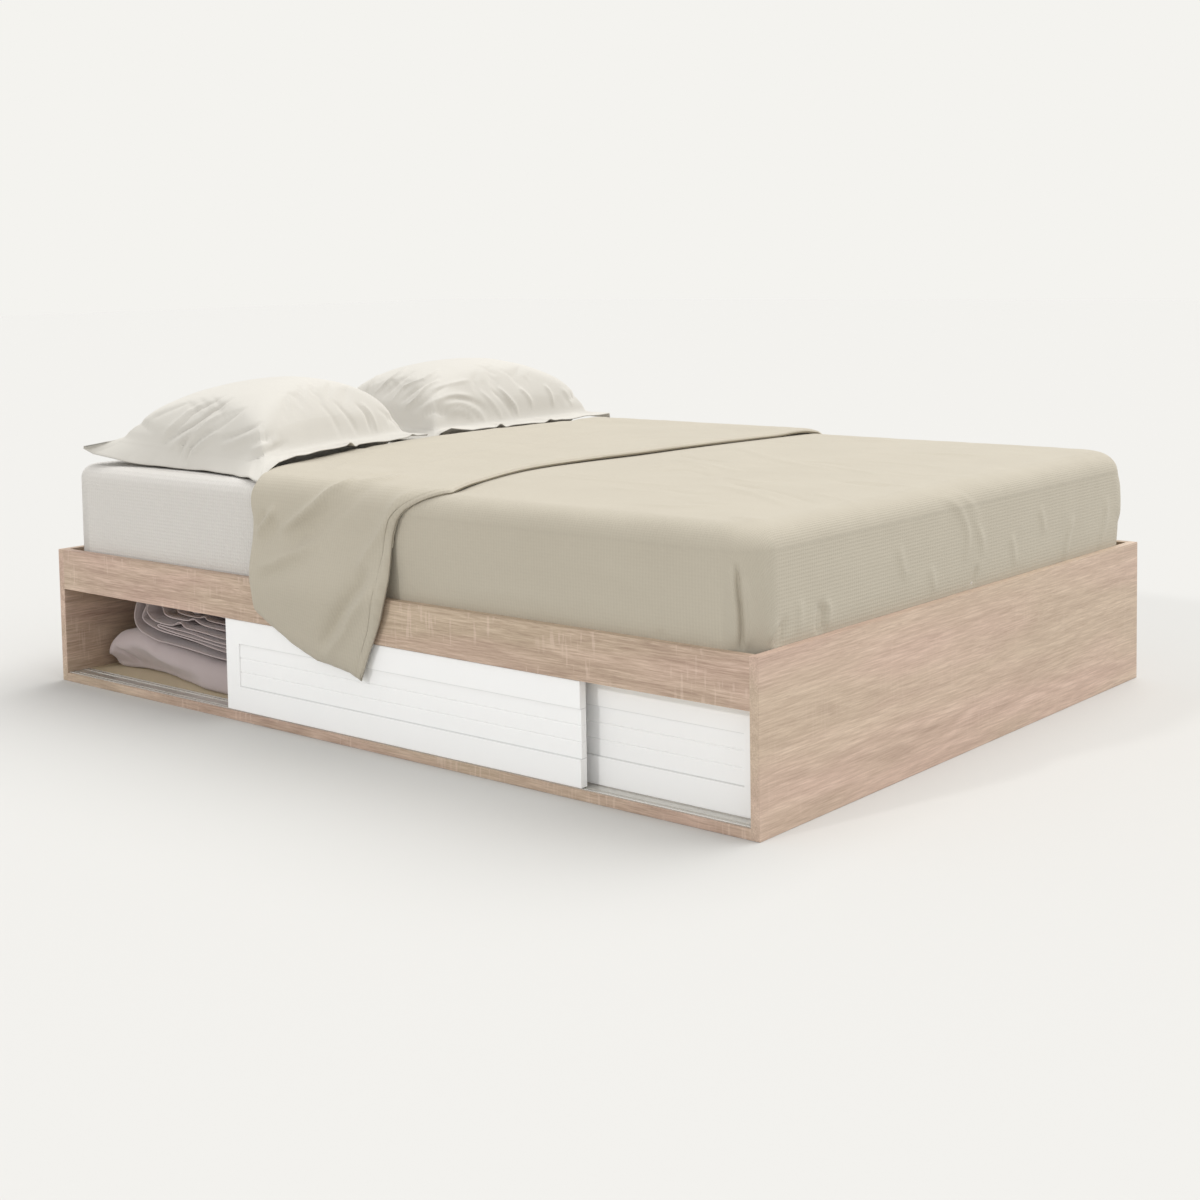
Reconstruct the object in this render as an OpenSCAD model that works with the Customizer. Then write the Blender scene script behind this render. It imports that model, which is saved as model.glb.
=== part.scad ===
// Low storage bed with two sliding doors, a slatted base and its bedding.
// Sizes are in millimetres. X runs from the head end to the foot end, Y from the
// door side to the far side, and Z up. The origin is on the floor, under the
// middle of the frame.

/* [Mattress] */
// Length of the mattress
mattress_l = 1900; // [1700:10:2100]
// Width of the mattress
mattress_w = 1400; // [1200:10:1600]
// Height of the mattress
mattress_h = 243; // [180:1:300]
// Gap all round between the mattress and the frame
mattress_gap = 4; // [4:0.5:10]
// Radius of the mattress's upright corners
mattress_corner_r = 70; // [40:1:90]
// Radius of the mattress's top and bottom edges
mattress_edge_r = 30; // [20:1:32]
// How far the mattress sits below the top of the frame
mattress_sink = 50; // [40:1:60]

/* [Boards] */
// Thickness of every laminated board
board_t = 18; // [16:0.5:22]
// Height of the frame above the floor
frame_h = 302; // [280:1:380]
// Height of the rail over the doors
rail_h = 90; // [86:1:100]
// Depth of the notch that seats the cross divider under the front ledger
divider_seat = 16; // [10:1:18]

/* [Sliding doors] */
// Thickness of a door
door_t = 16; // [15:0.5:17]
// Distance from the frame's front to the front door's face
door_setback = 4; // [2:0.5:5]
// Free space between the two doors
door_gap = 21; // [18:0.5:22]
// How far the doors overlap when they close the bed
door_overlap = 34; // [20:1:60]
// Free space over a door
door_top_gap = 1.8; // [1:0.1:3]
// Free space at a door's end when it meets an end panel
door_end_gap = 0.5; // [0.3:0.1:2]
// Opening left beside the front door as it stands
bay_opening = 573; // [300:1:900]
// Height of a door's plain lower band
door_lower_band = 51; // [40:1:60]
// Height of a door's plain upper band
door_upper_band = 50; // [40:1:60]
// Width of the plain band at a door's outer end
door_stile = 41; // [30:1:80]
// Depth of the recessed field
field_depth = 3; // [2:0.5:4]
// Planks that the field is cut into
field_planks = 3; // [2:1:5]
// Width of a groove between two planks
plank_groove_w = 3; // [2:0.5:4]
// Depth of a groove between two planks
plank_groove_d = 1.4; // [1:0.1:2]

/* [Door running gear] */
// Thickness of the track's base
track_base_t = 0.8; // [0.6:0.1:1.5]
// Height of the track's lips over the storage floor
track_lip_h = 2; // [1.6:0.1:3]
// Thickness of a track lip
track_lip_t = 1.2; // [1:0.1:1.6]
// Height of the low bead behind each glide, over the track's base
track_bead_h = 1; // [0.6:0.1:1.2]
// Distance from a door's face back to the lip under it
track_lip_back = 0.5; // [0:0.1:2]
// Free space between the track's lips and a door's lower edge
door_lift = 0.6; // [0.4:0.1:1.5]
// Running clearance of the glides and pins
run_clear = 0.3; // [0.3:0.05:0.6]
// Length of a glide
glide_l = 60; // [40:1:90]
// Thickness of a glide
glide_t = 9; // [7:0.5:10]
// Depth that a glide is let into the door
glide_depth = 9; // [6:0.5:14]
// Distance from a door's end to its glide or pin
glide_inset = 60; // [40:5:150]
// Outer width of a guide channel
guide_w = 7; // [6.5:0.1:8]
// Depth of a guide channel
guide_h = 10; // [9:0.5:12]
// Wall of a guide channel
guide_wall = 0.8; // [0.6:0.1:1]
// Radius of a guide pin
pin_r = 2; // [1.5:0.1:2.2]
// Length of a guide pin inside the door
pin_seat = 12; // [8:1:20]

/* [Slatted base] */
// Slats on the bed
slat_count = 13; // [10:1:16]
// Width of a slat
slat_w = 70; // [50:1:80]
// Thickness of a slat
slat_t = 18; // [14:1:20]
// Width of the front ledger
front_ledger_w = 62; // [60:1:80]
// Width of the rear ledger
rear_ledger_w = 24; // [20:1:40]
// Free space between the end slats and the end panels
slat_end_gap = 10; // [4:1:20]
// Free space between a slat's end and the side boards
slat_side_gap = 2; // [1:0.5:5]
// Width of a slat tape
tape_w = 30; // [20:1:50]
// Thickness of a slat tape
tape_t = 1; // [0.6:0.1:2]
// Distance of each slat tape from the bed's middle line
tape_y = 350; // [250:10:500]

/* [Fittings] */
// Radius of a cam lock
cam_r = 7.4; // [7:0.1:7.5]
// Depth of a cam lock's hole
cam_depth = 12.5; // [12:0.1:13]
// Distance from a board's end to the middle of its cam
cam_back = 34; // [30:1:40]
// Radius of a cam bolt
bolt_r = 2.8; // [2.5:0.1:3]
// Length of a cam bolt's thread in the end panel
bolt_seat = 11; // [9:0.5:12]
// Radius of a dowel
dowel_r = 4; // [3:0.5:5]
// Length of a dowel
dowel_l = 30; // [25:1:35]
// Length of a dowel inside the end panel
dowel_seat = 11; // [8:1:13]
// Distance of the upright boards' fittings from their upper and lower edges
fit_inset = 40; // [30:1:60]
// Distance of the bottom board's fittings from its front and from the middle line
floor_fit_inset = 110; // [80:5:180]
// Distance of the rail's upper fitting from its upper edge
rail_fit_inset = 20; // [16:1:24]
// Distance of the divider's dowels from its front and back edges
divider_dowel_inset = 80; // [40:5:160]
// Clearance round every fitting
fit_clear = 0.15; // [0.1:0.05:0.3]
// Radius of a wood screw
screw_r = 2; // [1.5:0.1:2.5]
// Radius of a wood screw's head
screw_head_r = 4; // [3.5:0.1:4.5]
// Length of a ledger screw
ledger_screw_l = 38; // [34:1:40]
// Length of a slat screw
slat_screw_l = 30; // [26:1:34]

/* [Bedding] */
// Thickness of the fitted sheet
sheet_t = 1.2; // [0.8:0.1:2]
// How far the fitted sheet's sides reach over the mattress's underside
sheet_lift = 20; // [10:1:60]
// Clearance between layers of bedding
soft_clear = 0.3; // [0.2:0.05:0.6]
// Thickness of the duvet on top of the mattress
duvet_t = 11; // [9:0.5:20]
// Extra height in the middle of the duvet
duvet_crown = 6; // [0:1:20]
// Radius of the duvet's top edge
duvet_edge_r = 46; // [40:1:60]
// How far the duvet stands proud of its tucked edge
duvet_bulge = 3; // [0:0.5:8]
// How far the duvet is tucked below the top of the frame
duvet_tuck = 40; // [20:1:45]
// Thickness of the turned back part
turnback_t = 11; // [8:0.5:20]
// How far the turned back part hangs out over the rail
turnback_clear = 0.5; // [0.3:0.1:4]
// Height of the hanging corner's lowest point over the floor
drape_tip_z = 140; // [100:5:250]
// Height of the hanging edge at the fold over the floor
drape_fold_z = 262; // [200:5:290]
// Depth of the hanging folds
drape_wave = 7; // [0:0.5:10]
// Length of the near pillow's case along the bed
near_pillow_l = 496; // [430:2:510]
// Length of the far pillow's case along the bed
far_pillow_l = 448; // [400:2:460]
// Width of a pillow's case across the bed
pillow_w = 655; // [560:5:660]
// Height of a pillow
pillow_h = 184; // [120:2:200]
// Width of the flange round a pillow
pillow_flange = 45; // [30:1:70]
// Thickness of the flange
flange_t = 3; // [2:0.5:5]
// Free space between a pillow and the bed's middle line
pillow_side_gap = 38; // [24:1:46]
// Free space between the pillows and the duvet's fold
pillow_gap = 8; // [4:1:40]
// Length of the stored blankets along the bed
blanket_l = 540; // [300:10:700]
// Depth of the stored blankets into the bay
blanket_d = 360; // [200:10:500]
// Free space between the blankets and the head panel
blanket_end_gap = 40; // [4:1:60]
// Free space between the rear door and the blankets
blanket_door_gap = 14; // [4:1:60]
// Height of the lower blanket
lower_blanket_h = 84; // [50:2:90]
// Height of one layer of the upper blanket
blanket_layer_h = 20; // [10:1:22]
// Layers in the upper blanket
blanket_layers = 5; // [3:1:6]

/* [Hidden] */
eps = 0.01;

// Frame, worked out from the mattress
inner_l = mattress_l + 2 * mattress_gap;
inner_w = mattress_w + 2 * mattress_gap;
frame_l = inner_l + 2 * board_t;
frame_w = inner_w + 2 * board_t;
front_y = -frame_w / 2;
rear_y = frame_w / 2;
rail_z = frame_h - rail_h;
mattress_z = frame_h - mattress_sink;
ledger_z = mattress_z - slat_t;

// Doors and their two running lines
door_w = (inner_l + door_overlap) / 2 - door_end_gap;
door_z = board_t + track_lip_h + door_lift;
door_h = rail_z - door_top_gap - door_z;
front_line = front_y + door_setback + door_t / 2;
rear_line = front_line + door_t + door_gap;
front_door_x = -inner_l / 2 + bay_opening;
rear_door_x = inner_l / 2 - door_end_gap - door_w;
door_back_y = rear_line + door_t / 2;
field_z = door_z + door_lower_band;
field_h = door_h - door_lower_band - door_upper_band;
plank_h = field_h / field_planks;
pin_top = rail_z + guide_h - guide_wall - 2;

// Fittings: each row is [end, y, z, turn of the cam's face round X]
rail_mid_y = front_y + board_t / 2;
far_mid_y = rear_y - board_t / 2;
floor_mid_z = board_t / 2;
divider_front_y = front_y + board_t + front_ledger_w - divider_seat;
rail_fit_z = [ledger_z + cam_r + 0.6, frame_h - rail_fit_inset];
far_fit_z = [fit_inset, frame_h / 2, frame_h - fit_inset];
partition_fit_z = [board_t + fit_inset, ledger_z - fit_inset];
floor_fit_y = [front_y + floor_fit_inset, front_y / 2, -floor_fit_inset];
fittings = [for (end = [-1, 1]) each concat(
    [for (z = rail_fit_z) [end, rail_mid_y, z, -90]],
    [for (z = far_fit_z) [end, far_mid_y, z, 90]],
    [for (z = partition_fit_z) [end, 0, z, -90]],
    [for (y = floor_fit_y) [end, y, floor_mid_z, 180]])];
end_dowels = [for (end = [-1, 1]) each concat(
    [[end, rail_mid_y, (rail_fit_z[0] + rail_fit_z[1]) / 2]],
    [for (k = [0, 1]) [end, far_mid_y, (far_fit_z[k] + far_fit_z[k + 1]) / 2]],
    [[end, 0, (partition_fit_z[0] + partition_fit_z[1]) / 2]],
    [for (k = [0, 1]) [end, (floor_fit_y[k] + floor_fit_y[k + 1]) / 2, floor_mid_z]])];
divider_dowel_y = [divider_front_y + divider_dowel_inset, -board_t / 2 - divider_dowel_inset];

// Slats
slat_pitch = (inner_l - slat_w - 2 * slat_end_gap) / (slat_count - 1);
slat_half = inner_w / 2 - slat_side_gap;
front_slat_screw_y = front_y + board_t + front_ledger_w - rear_ledger_w / 2;
rear_slat_screw_y = rear_y - board_t - rear_ledger_w / 2;
ledger_screw_z = ledger_z - screw_head_r - 2;
// Both ledgers hold the same thickness of wood under a screw's head
ledger_grip = rear_ledger_w;
ledger_screw_x = [for (k = [0:4]) slat_x(1 + round((slat_count - 2) * k / 4)) + slat_pitch / 2];

// Bedding levels
sheet_top = mattress_z + mattress_h + sheet_t;
duvet_rim_z = sheet_top + duvet_t;
tuck_z = frame_h - duvet_tuck;
side_y = inner_w / 2 - soft_clear;
edge_z = duvet_rim_z - duvet_edge_r;
edge_y = side_y - duvet_edge_r + duvet_bulge * 0.8;
pillow_y = pillow_w / 2 + pillow_side_gap;
blanket_x = -inner_l / 2 + blanket_end_gap;
blanket_y = door_back_y + blanket_door_gap;
upper_blanket_z = board_t + 2 * soft_clear + lower_blanket_h;
// The upper blanket's layers stay below the rail, however many there are
upper_layer_h = min(blanket_layer_h, (rail_z - 4 - upper_blanket_z) / blanket_layers);
// The turned back part's first step, a full thickness deep, ends before the duvet's head edge
fold_share = 0.034;
fold_cover = 22;
duvet_corner_r = 64;
// Turns round the duvet's top edge, which the turned back part shares
edge_turns = [22.5:22.5:90];
// The duvet swells in waves up to a quarter of its crown, so what lies on it is that much higher
swell_waves = 0.25;

// Distances from the head panel to the duvet's fold and to its free hem, at each point of
// a path across the bed from the hanging edge on the door side to the one on the far side
fold_reach = [690, 684, 672, 664, 656, 653, 651, 650, 649, 648, 644,
              582, 536, 502, 480, 470, 463, 458,
              454, 454, 454, 454, 454, 454, 454, 454, 454, 454, 454];
hem_reach = [998, 1020, 1044, 1059, 1068, 1078, 1092, 1114, 1144, 1174, 1189,
             1124, 1084, 1086, 1104, 1109, 1114, 1119,
             1122, 1124, 1126, 1128, 1130, 1132, 1134, 1134, 1132, 1128, 1124];
near_fold_x = fold_reach[10] - inner_l / 2;
far_fold_x = fold_reach[18] - inner_l / 2;

RIGID_NODES = ["head_panel", "foot_panel", "front_rail", "rear_panel", "storage_floor",
    "centre_partition", "cross_divider", "front_ledger", "rear_ledger", "bottom_track",
    "front_top_guide", "rear_top_guide", "front_door_panel", "front_door_glides",
    "front_door_pins", "rear_door_panel", "rear_door_glides", "rear_door_pins",
    "slat_tapes", "cam_locks", "cam_bolts", "dowels", "ledger_screws", "slat_screws"];
SLAT_NODES = [for (k = [1:slat_count]) str("slat_", k)];
SOFT_NODES = ["mattress", "fitted_sheet", "duvet", "duvet_turnback", "near_pillow",
    "far_pillow", "lower_blanket", "upper_blanket"];

$fn = 32;

oak = "#c6ae97";
white = "#f2f2f0";
pine = "#d9bd8f";
steel = "#b9bbbd";
metal = "#c8cac6";
linen = "#cfc7b4";
cotton = "#dedad3";
mauve = "#9d918c";

// A box given by its lowest corner and its highest corner
module block(low, high) {
    translate(low) cube([for (k = [0:2]) high[k] - low[k]]);
}

// Places children at a fitting: X runs into the board from its end, Z to the cam's face
module at_fitting(row, turn) {
    translate([row[0] * inner_l / 2, row[1], row[2]])
        rotate([turn, 0, 0])
            rotate([0, 0, row[0] > 0 ? 180 : 0])
                children();
}

// The holes that a board's ends need, for the fittings whose middle lies in the board
module end_bores(low_y, high_y, low_z, high_z) {
    for (row = fittings)
        if (row[1] > low_y && row[1] < high_y && row[2] > low_z && row[2] < high_z)
            at_fitting(row, row[3]) {
                translate([cam_back, 0, board_t / 2 - cam_depth])
                    cylinder(r = cam_r + fit_clear, h = cam_depth + 1);
                translate([-1, 0, 0]) rotate([0, 90, 0])
                    cylinder(r = bolt_r + 1, h = cam_back + 1);
            }
    for (row = end_dowels)
        if (row[1] > low_y && row[1] < high_y && row[2] > low_z && row[2] < high_z)
            at_fitting(row, 0) translate([-1, 0, 0]) rotate([0, 90, 0])
                cylinder(r = dowel_r + fit_clear, h = dowel_l - dowel_seat + 1.5);
}

module end_panel(end) {
    color(oak) difference() {
        block([end > 0 ? inner_l / 2 : -frame_l / 2, front_y, 0],
              [end > 0 ? frame_l / 2 : -inner_l / 2, rear_y, frame_h]);
        for (row = fittings)
            if (row[0] == end)
                at_fitting(row, 0) rotate([0, -90, 0]) translate([0, 0, -1])
                    cylinder(r = bolt_r + fit_clear, h = bolt_seat + 1.2);
        for (row = end_dowels)
            if (row[0] == end)
                at_fitting(row, 0) rotate([0, -90, 0]) translate([0, 0, -1])
                    cylinder(r = dowel_r + fit_clear, h = dowel_seat + 1.5);
    }
}

module head_panel() { end_panel(-1); }

module foot_panel() { end_panel(1); }

module front_rail() {
    color(oak) difference() {
        block([-inner_l / 2, front_y, rail_z], [inner_l / 2, front_y + board_t, frame_h]);
        end_bores(front_y, front_y + board_t, rail_z, frame_h);
        guide_groove(front_line);
        for (x = ledger_screw_x)
            translate([x, front_y + board_t - ledger_screw_l + ledger_grip - 1, ledger_screw_z])
                rotate([-90, 0, 0]) cylinder(r = screw_r + fit_clear, h = ledger_screw_l);
    }
}

module rear_panel() {
    color(oak) difference() {
        block([-inner_l / 2, rear_y - board_t, 0], [inner_l / 2, rear_y, frame_h]);
        end_bores(rear_y - board_t, rear_y, 0, frame_h);
        for (x = ledger_screw_x)
            translate([x, rear_y - board_t + ledger_screw_l - ledger_grip + 1, ledger_screw_z])
                rotate([90, 0, 0]) cylinder(r = screw_r + fit_clear, h = ledger_screw_l);
    }
}

module storage_floor() {
    color(oak) difference() {
        block([-inner_l / 2, front_y, 0], [inner_l / 2, board_t / 2, board_t]);
        end_bores(front_y, board_t / 2, 0, board_t);
        for (y = divider_dowel_y)
            translate([0, y, board_t - dowel_seat - 0.5])
                cylinder(r = dowel_r + fit_clear, h = dowel_seat + 1);
    }
}

module centre_partition() {
    color(oak) difference() {
        block([-inner_l / 2, -board_t / 2, board_t], [inner_l / 2, board_t / 2, ledger_z]);
        end_bores(-board_t / 2, board_t / 2, board_t, ledger_z);
    }
}

// Notched at its front so that the ledger rests on it, and on top for a slat tape
module cross_divider() {
    color(oak) difference() {
        block([-board_t / 2, divider_front_y, board_t], [board_t / 2, -board_t / 2, ledger_z]);
        block([-board_t, divider_front_y - 1, rail_z],
              [board_t, divider_front_y + divider_seat + 0.5, frame_h]);
        block([-board_t, -tape_y - tape_w / 2 - 1, ledger_z - tape_t - 0.3],
              [board_t, -tape_y + tape_w / 2 + 1, frame_h]);
        for (y = divider_dowel_y)
            translate([0, y, board_t - 1])
                cylinder(r = dowel_r + fit_clear, h = dowel_l - dowel_seat + 1.5);
    }
}

// Groove for a guide channel in the underside of the rail or the ledger
module guide_groove(line) {
    block([-inner_l, line - guide_w / 2 - 0.05, rail_z - 1],
          [inner_l, line + guide_w / 2 + 0.05, rail_z + guide_h + 0.05]);
}

module front_ledger() {
    low_y = front_y + board_t;
    color(pine) difference() {
        block([-inner_l / 2, low_y, rail_z], [inner_l / 2, low_y + front_ledger_w, ledger_z]);
        guide_groove(rear_line);
        for (x = ledger_screw_x)
            translate([x, low_y + ledger_grip, ledger_screw_z])
                rotate([-90, 0, 0]) screw_hole(front_ledger_w, ledger_screw_l);
        slat_screw_holes(front_slat_screw_y);
    }
}

module rear_ledger() {
    high_y = rear_y - board_t;
    color(pine) difference() {
        block([-inner_l / 2, high_y - rear_ledger_w, rail_z], [inner_l / 2, high_y, ledger_z]);
        for (x = ledger_screw_x)
            translate([x, high_y - ledger_grip, ledger_screw_z])
                rotate([90, 0, 0]) screw_hole(rear_ledger_w, ledger_screw_l);
        slat_screw_holes(rear_slat_screw_y);
    }
}

// A countersunk screw with its head's face at the origin and its point down Z
module screw(length) {
    translate([0, 0, -length]) cylinder(r = screw_r, h = length);
    translate([0, 0, -screw_head_r + screw_r])
        cylinder(r1 = screw_r, r2 = screw_head_r, h = screw_head_r - screw_r);
}

// Its hole, with a straight counterbore above the head
module screw_hole(bore_l, length) {
    translate([0, 0, -length - 1]) cylinder(r = screw_r + fit_clear, h = length + 1 + eps);
    cylinder(r = screw_head_r + fit_clear, h = bore_l);
    translate([0, 0, -screw_head_r + screw_r])
        cylinder(r1 = screw_r + fit_clear, r2 = screw_head_r + fit_clear,
                 h = screw_head_r - screw_r + eps);
}

module slat_screw_holes(y) {
    for (k = [1:slat_count])
        translate([slat_x(k), y, ledger_z - slat_screw_l + slat_t - 0.5])
            cylinder(r = screw_r + fit_clear, h = slat_screw_l);
}

module ledger_screws() {
    color(steel) for (x = ledger_screw_x) {
        translate([x, front_y + board_t + ledger_grip, ledger_screw_z])
            rotate([-90, 0, 0]) screw(ledger_screw_l);
        translate([x, rear_y - board_t - ledger_grip, ledger_screw_z])
            rotate([90, 0, 0]) screw(ledger_screw_l);
    }
}

module slat_screws() {
    color(steel) for (k = [1:slat_count])
        for (y = [front_slat_screw_y, rear_slat_screw_y])
            translate([slat_x(k), y, mattress_z]) screw(slat_screw_l);
}

// A lip of the bottom track, or the low bead behind a glide
module track_rib(y, height) {
    translate([y, board_t]) square([track_lip_t, height]);
}

// Metal profile on the storage floor. Each door has a lip under its face, and its glides run
// between the lip and a low bead.
module bottom_track() {
    lip_y = track_lip_back - door_t / 2;
    bead_y = glide_t / 2 + run_clear;
    color(metal) translate([-inner_l / 2 + 0.3, 0, 0])
        rotate([90, 0, 90]) linear_extrude(inner_l - 0.6) {
            translate([front_line + lip_y, board_t])
                square([rear_line + bead_y + track_lip_t - front_line - lip_y, track_base_t]);
            for (line = [front_line, rear_line]) {
                track_rib(line + lip_y, track_lip_h);
                track_rib(line + bead_y, track_base_t + track_bead_h);
            }
        }
}

module top_guide(line) {
    color(white) difference() {
        block([-inner_l / 2 + 0.3, line - guide_w / 2, rail_z],
              [inner_l / 2 - 0.3, line + guide_w / 2, rail_z + guide_h]);
        block([-inner_l, line - guide_w / 2 + guide_wall, rail_z - 1],
              [inner_l, line + guide_w / 2 - guide_wall, rail_z + guide_h - guide_wall]);
    }
}

module front_top_guide() { top_guide(front_line); }

module rear_top_guide() { top_guide(rear_line); }

// Middles of a door's two glides, which its guide pins share
function glide_places(door_x) = [door_x + glide_inset + glide_l / 2,
                                 door_x + door_w - glide_inset - glide_l / 2];

// The field is open towards the other door and stops at the outer stile
module door_panel(door_x, line, outer_end) {
    face_y = line - door_t / 2;
    field_low = outer_end < 0 ? door_x + door_stile : door_x - 1;
    field_high = outer_end < 0 ? door_x + door_w + 1 : door_x + door_w - door_stile;
    color(white) difference() {
        block([door_x, face_y, door_z], [door_x + door_w, face_y + door_t, door_z + door_h]);
        block([field_low, face_y - 1, field_z], [field_high, face_y + field_depth, field_z + field_h]);
        for (k = [1:field_planks - 1])
            translate([field_low, face_y + field_depth, field_z + k * plank_h])
                rotate([90, 0, 90]) linear_extrude(field_high - field_low)
                    polygon([[-1, -plank_groove_w / 2 - 0.5],
                             [0, -plank_groove_w / 2],
                             [plank_groove_d, 0],
                             [0, plank_groove_w / 2],
                             [-1, plank_groove_w / 2 + 0.5]]);
        for (x = glide_places(door_x)) {
            block([x - glide_l / 2 - fit_clear, line - glide_t / 2 - fit_clear, door_z - 1],
                  [x + glide_l / 2 + fit_clear, line + glide_t / 2 + fit_clear,
                   door_z + glide_depth + fit_clear]);
            translate([x, line, door_z + door_h - pin_seat - 0.2])
                cylinder(r = pin_r + fit_clear, h = pin_seat + 1);
        }
    }
}

module door_glides(door_x, line) {
    color(white) for (x = glide_places(door_x))
        block([x - glide_l / 2, line - glide_t / 2, board_t + track_base_t + run_clear],
              [x + glide_l / 2, line + glide_t / 2, door_z + glide_depth]);
}

module door_pins(door_x, line) {
    pin_z = door_z + door_h - pin_seat;
    color(white) for (x = glide_places(door_x))
        translate([x, line, pin_z]) cylinder(r = pin_r, h = pin_top - pin_z);
}

module front_door_panel() { door_panel(front_door_x, front_line, -1); }

module front_door_glides() { door_glides(front_door_x, front_line); }

module front_door_pins() { door_pins(front_door_x, front_line); }

module rear_door_panel() { door_panel(rear_door_x, rear_line, 1); }

module rear_door_glides() { door_glides(rear_door_x, rear_line); }

module rear_door_pins() { door_pins(rear_door_x, rear_line); }

function slat_x(k) = (k - (slat_count + 1) / 2) * slat_pitch;

// A planed slat with eased long edges
module slat(k) {
    ease = 2;
    color(pine) difference() {
        translate([slat_x(k), -slat_half, ledger_z])
            rotate([-90, 0, 0]) mirror([0, 1, 0]) linear_extrude(2 * slat_half)
                polygon([[-slat_w / 2, 0], [slat_w / 2, 0],
                         [slat_w / 2, slat_t - ease], [slat_w / 2 - ease, slat_t],
                         [-slat_w / 2 + ease, slat_t], [-slat_w / 2, slat_t - ease]]);
        for (y = [front_slat_screw_y, rear_slat_screw_y])
            translate([slat_x(k), y, mattress_z]) screw_hole(slat_t, slat_screw_l);
    }
}

module slat_tapes() {
    reach = slat_x(slat_count) + slat_w / 2 - 5;
    color(cotton) for (side = [-1, 1])
        block([-reach, side * tape_y - tape_w / 2, ledger_z - tape_t],
              [reach, side * tape_y + tape_w / 2, ledger_z]);
}

// Eccentric locks with a cross slot and a pocket for the bolt's head
module cam_locks() {
    color(steel) for (row = fittings)
        at_fitting(row, row[3]) difference() {
            translate([cam_back, 0, board_t / 2 - cam_depth + 0.2])
                cylinder(r = cam_r, h = cam_depth - 0.2);
            translate([cam_back - 10, 0, 0]) rotate([0, 90, 0])
                cylinder(r = bolt_r + 0.8, h = 13);
            for (turn = [0, 90])
                translate([cam_back, 0, board_t / 2]) rotate([0, 0, turn])
                    cube([8, 1.6, 3], center = true);
        }
}

module cam_bolts() {
    color(steel) for (row = fittings)
        at_fitting(row, 0) rotate([0, 90, 0]) {
            translate([0, 0, -bolt_seat]) cylinder(r = bolt_r, h = bolt_seat + cam_back - 10);
            translate([0, 0, cam_back - 10 - eps]) cylinder(r = bolt_r - 1, h = 6);
            translate([0, 0, cam_back - 5]) cylinder(r = bolt_r, h = 5);
        }
}

module dowels() {
    color(pine) {
        for (row = end_dowels)
            at_fitting(row, 0) rotate([0, 90, 0])
                translate([0, 0, -dowel_seat]) cylinder(r = dowel_r, h = dowel_l);
        for (y = divider_dowel_y)
            translate([0, y, board_t - dowel_seat]) cylinder(r = dowel_r, h = dowel_l);
    }
}

// A slab with upright round corners and rounded top and bottom edges
module soft_slab(l, w, h, corner_r, edge_r) {
    hull() for (x = [-1, 1]) for (y = [-1, 1])
        translate([x * (l / 2 - corner_r), y * (w / 2 - corner_r), 0])
            rotate_extrude($fn = 24) {
                square([corner_r - edge_r, h]);
                translate([0, edge_r]) square([corner_r, h - 2 * edge_r]);
                intersection() {
                    union() for (z = [edge_r, h - edge_r])
                        translate([corner_r - edge_r, z]) circle(r = edge_r, $fn = 24);
                    square([corner_r, h]);
                }
            }
}

// The mattress grown by a distance on every side
module mattress_form(grow) {
    translate([0, 0, mattress_z - grow])
        soft_slab(mattress_l + 2 * grow, mattress_w + 2 * grow, mattress_h + 2 * grow,
                  mattress_corner_r + grow, mattress_edge_r + grow);
}

module mattress() { color(cotton) mattress_form(0); }

// Wraps the mattress's top and sides and is open underneath
module fitted_sheet() {
    color(cotton) difference() {
        mattress_form(sheet_t);
        mattress_form(0.1);
        block([-frame_l, -frame_w, 0], [frame_l, frame_w, mattress_z + sheet_lift]);
    }
}

// A closed solid from stacked rings of points, bottom ring first, anticlockwise from above
module ring_solid(rings, top_z) {
    count = len(rings[0]);
    levels = len(rings);
    points = concat([for (ring = rings) each ring], [[0, 0, rings[0][0][2]], [0, 0, top_z]]);
    base = levels * count;
    walls = [for (r = [0:levels - 2]) for (k = [0:count - 1])
        let (n = (k + 1) % count, a = r * count + k, b = r * count + n)
        each [[a, b + count, b], [a, a + count, b + count]]];
    lower = [for (k = [0:count - 1]) [base, k, (k + 1) % count]];
    upper = [for (k = [0:count - 1])
        [base + 1, (levels - 1) * count + (k + 1) % count, (levels - 1) * count + k]];
    polyhedron(points, concat(walls, lower, upper));
}

// A closed solid between two grids of points that lie one over the other
module sheet_solid(top, bottom) {
    rows = len(top);
    cols = len(top[0]);
    size = rows * cols;
    points = concat([for (row = top) each row], [for (row = bottom) each row]);
    skins = [for (r = [0:rows - 2]) for (c = [0:cols - 2])
        let (a = r * cols + c, b = a + cols)
        each [[a, b + 1, b], [a, a + 1, b + 1],
              [size + a, size + b, size + b + 1], [size + a, size + b + 1, size + a + 1]]];
    ends = [for (c = [0:cols - 2])
        let (a = c, b = (rows - 1) * cols + c)
        each [[a, size + a + 1, a + 1], [a, size + a, size + a + 1],
              [b, b + 1, size + b + 1], [b, size + b + 1, size + b]]];
    sides = [for (r = [0:rows - 2])
        let (a = r * cols, b = a + cols, d = a + cols - 1, e = d + cols)
        each [[a, b, size + b], [a, size + b, size + a],
              [d, size + e, e], [d, size + d, size + e]]];
    polyhedron(points, concat(skins, ends, sides));
}

// Outline of the duvet round the mattress, drawn in by inset
function duvet_ring(inset, z) =
    let (high_x = inner_l / 2 - soft_clear - inset, half_y = side_y - inset,
         r = max(12, duvet_corner_r - inset / 2), under_fold = fold_cover + inset + r, q = 5,
         mids = [[high_x - r, half_y - r, 0], [far_fold_x + under_fold, half_y - r, 90],
                 [near_fold_x + under_fold, -half_y + r, 180], [high_x - r, -half_y + r, 270]])
    [for (m = mids) for (k = [0:q])
        let (turn = m[2] + 90 * k / q) [m[0] + r * cos(turn), m[1] + r * sin(turn), z]];

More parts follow.
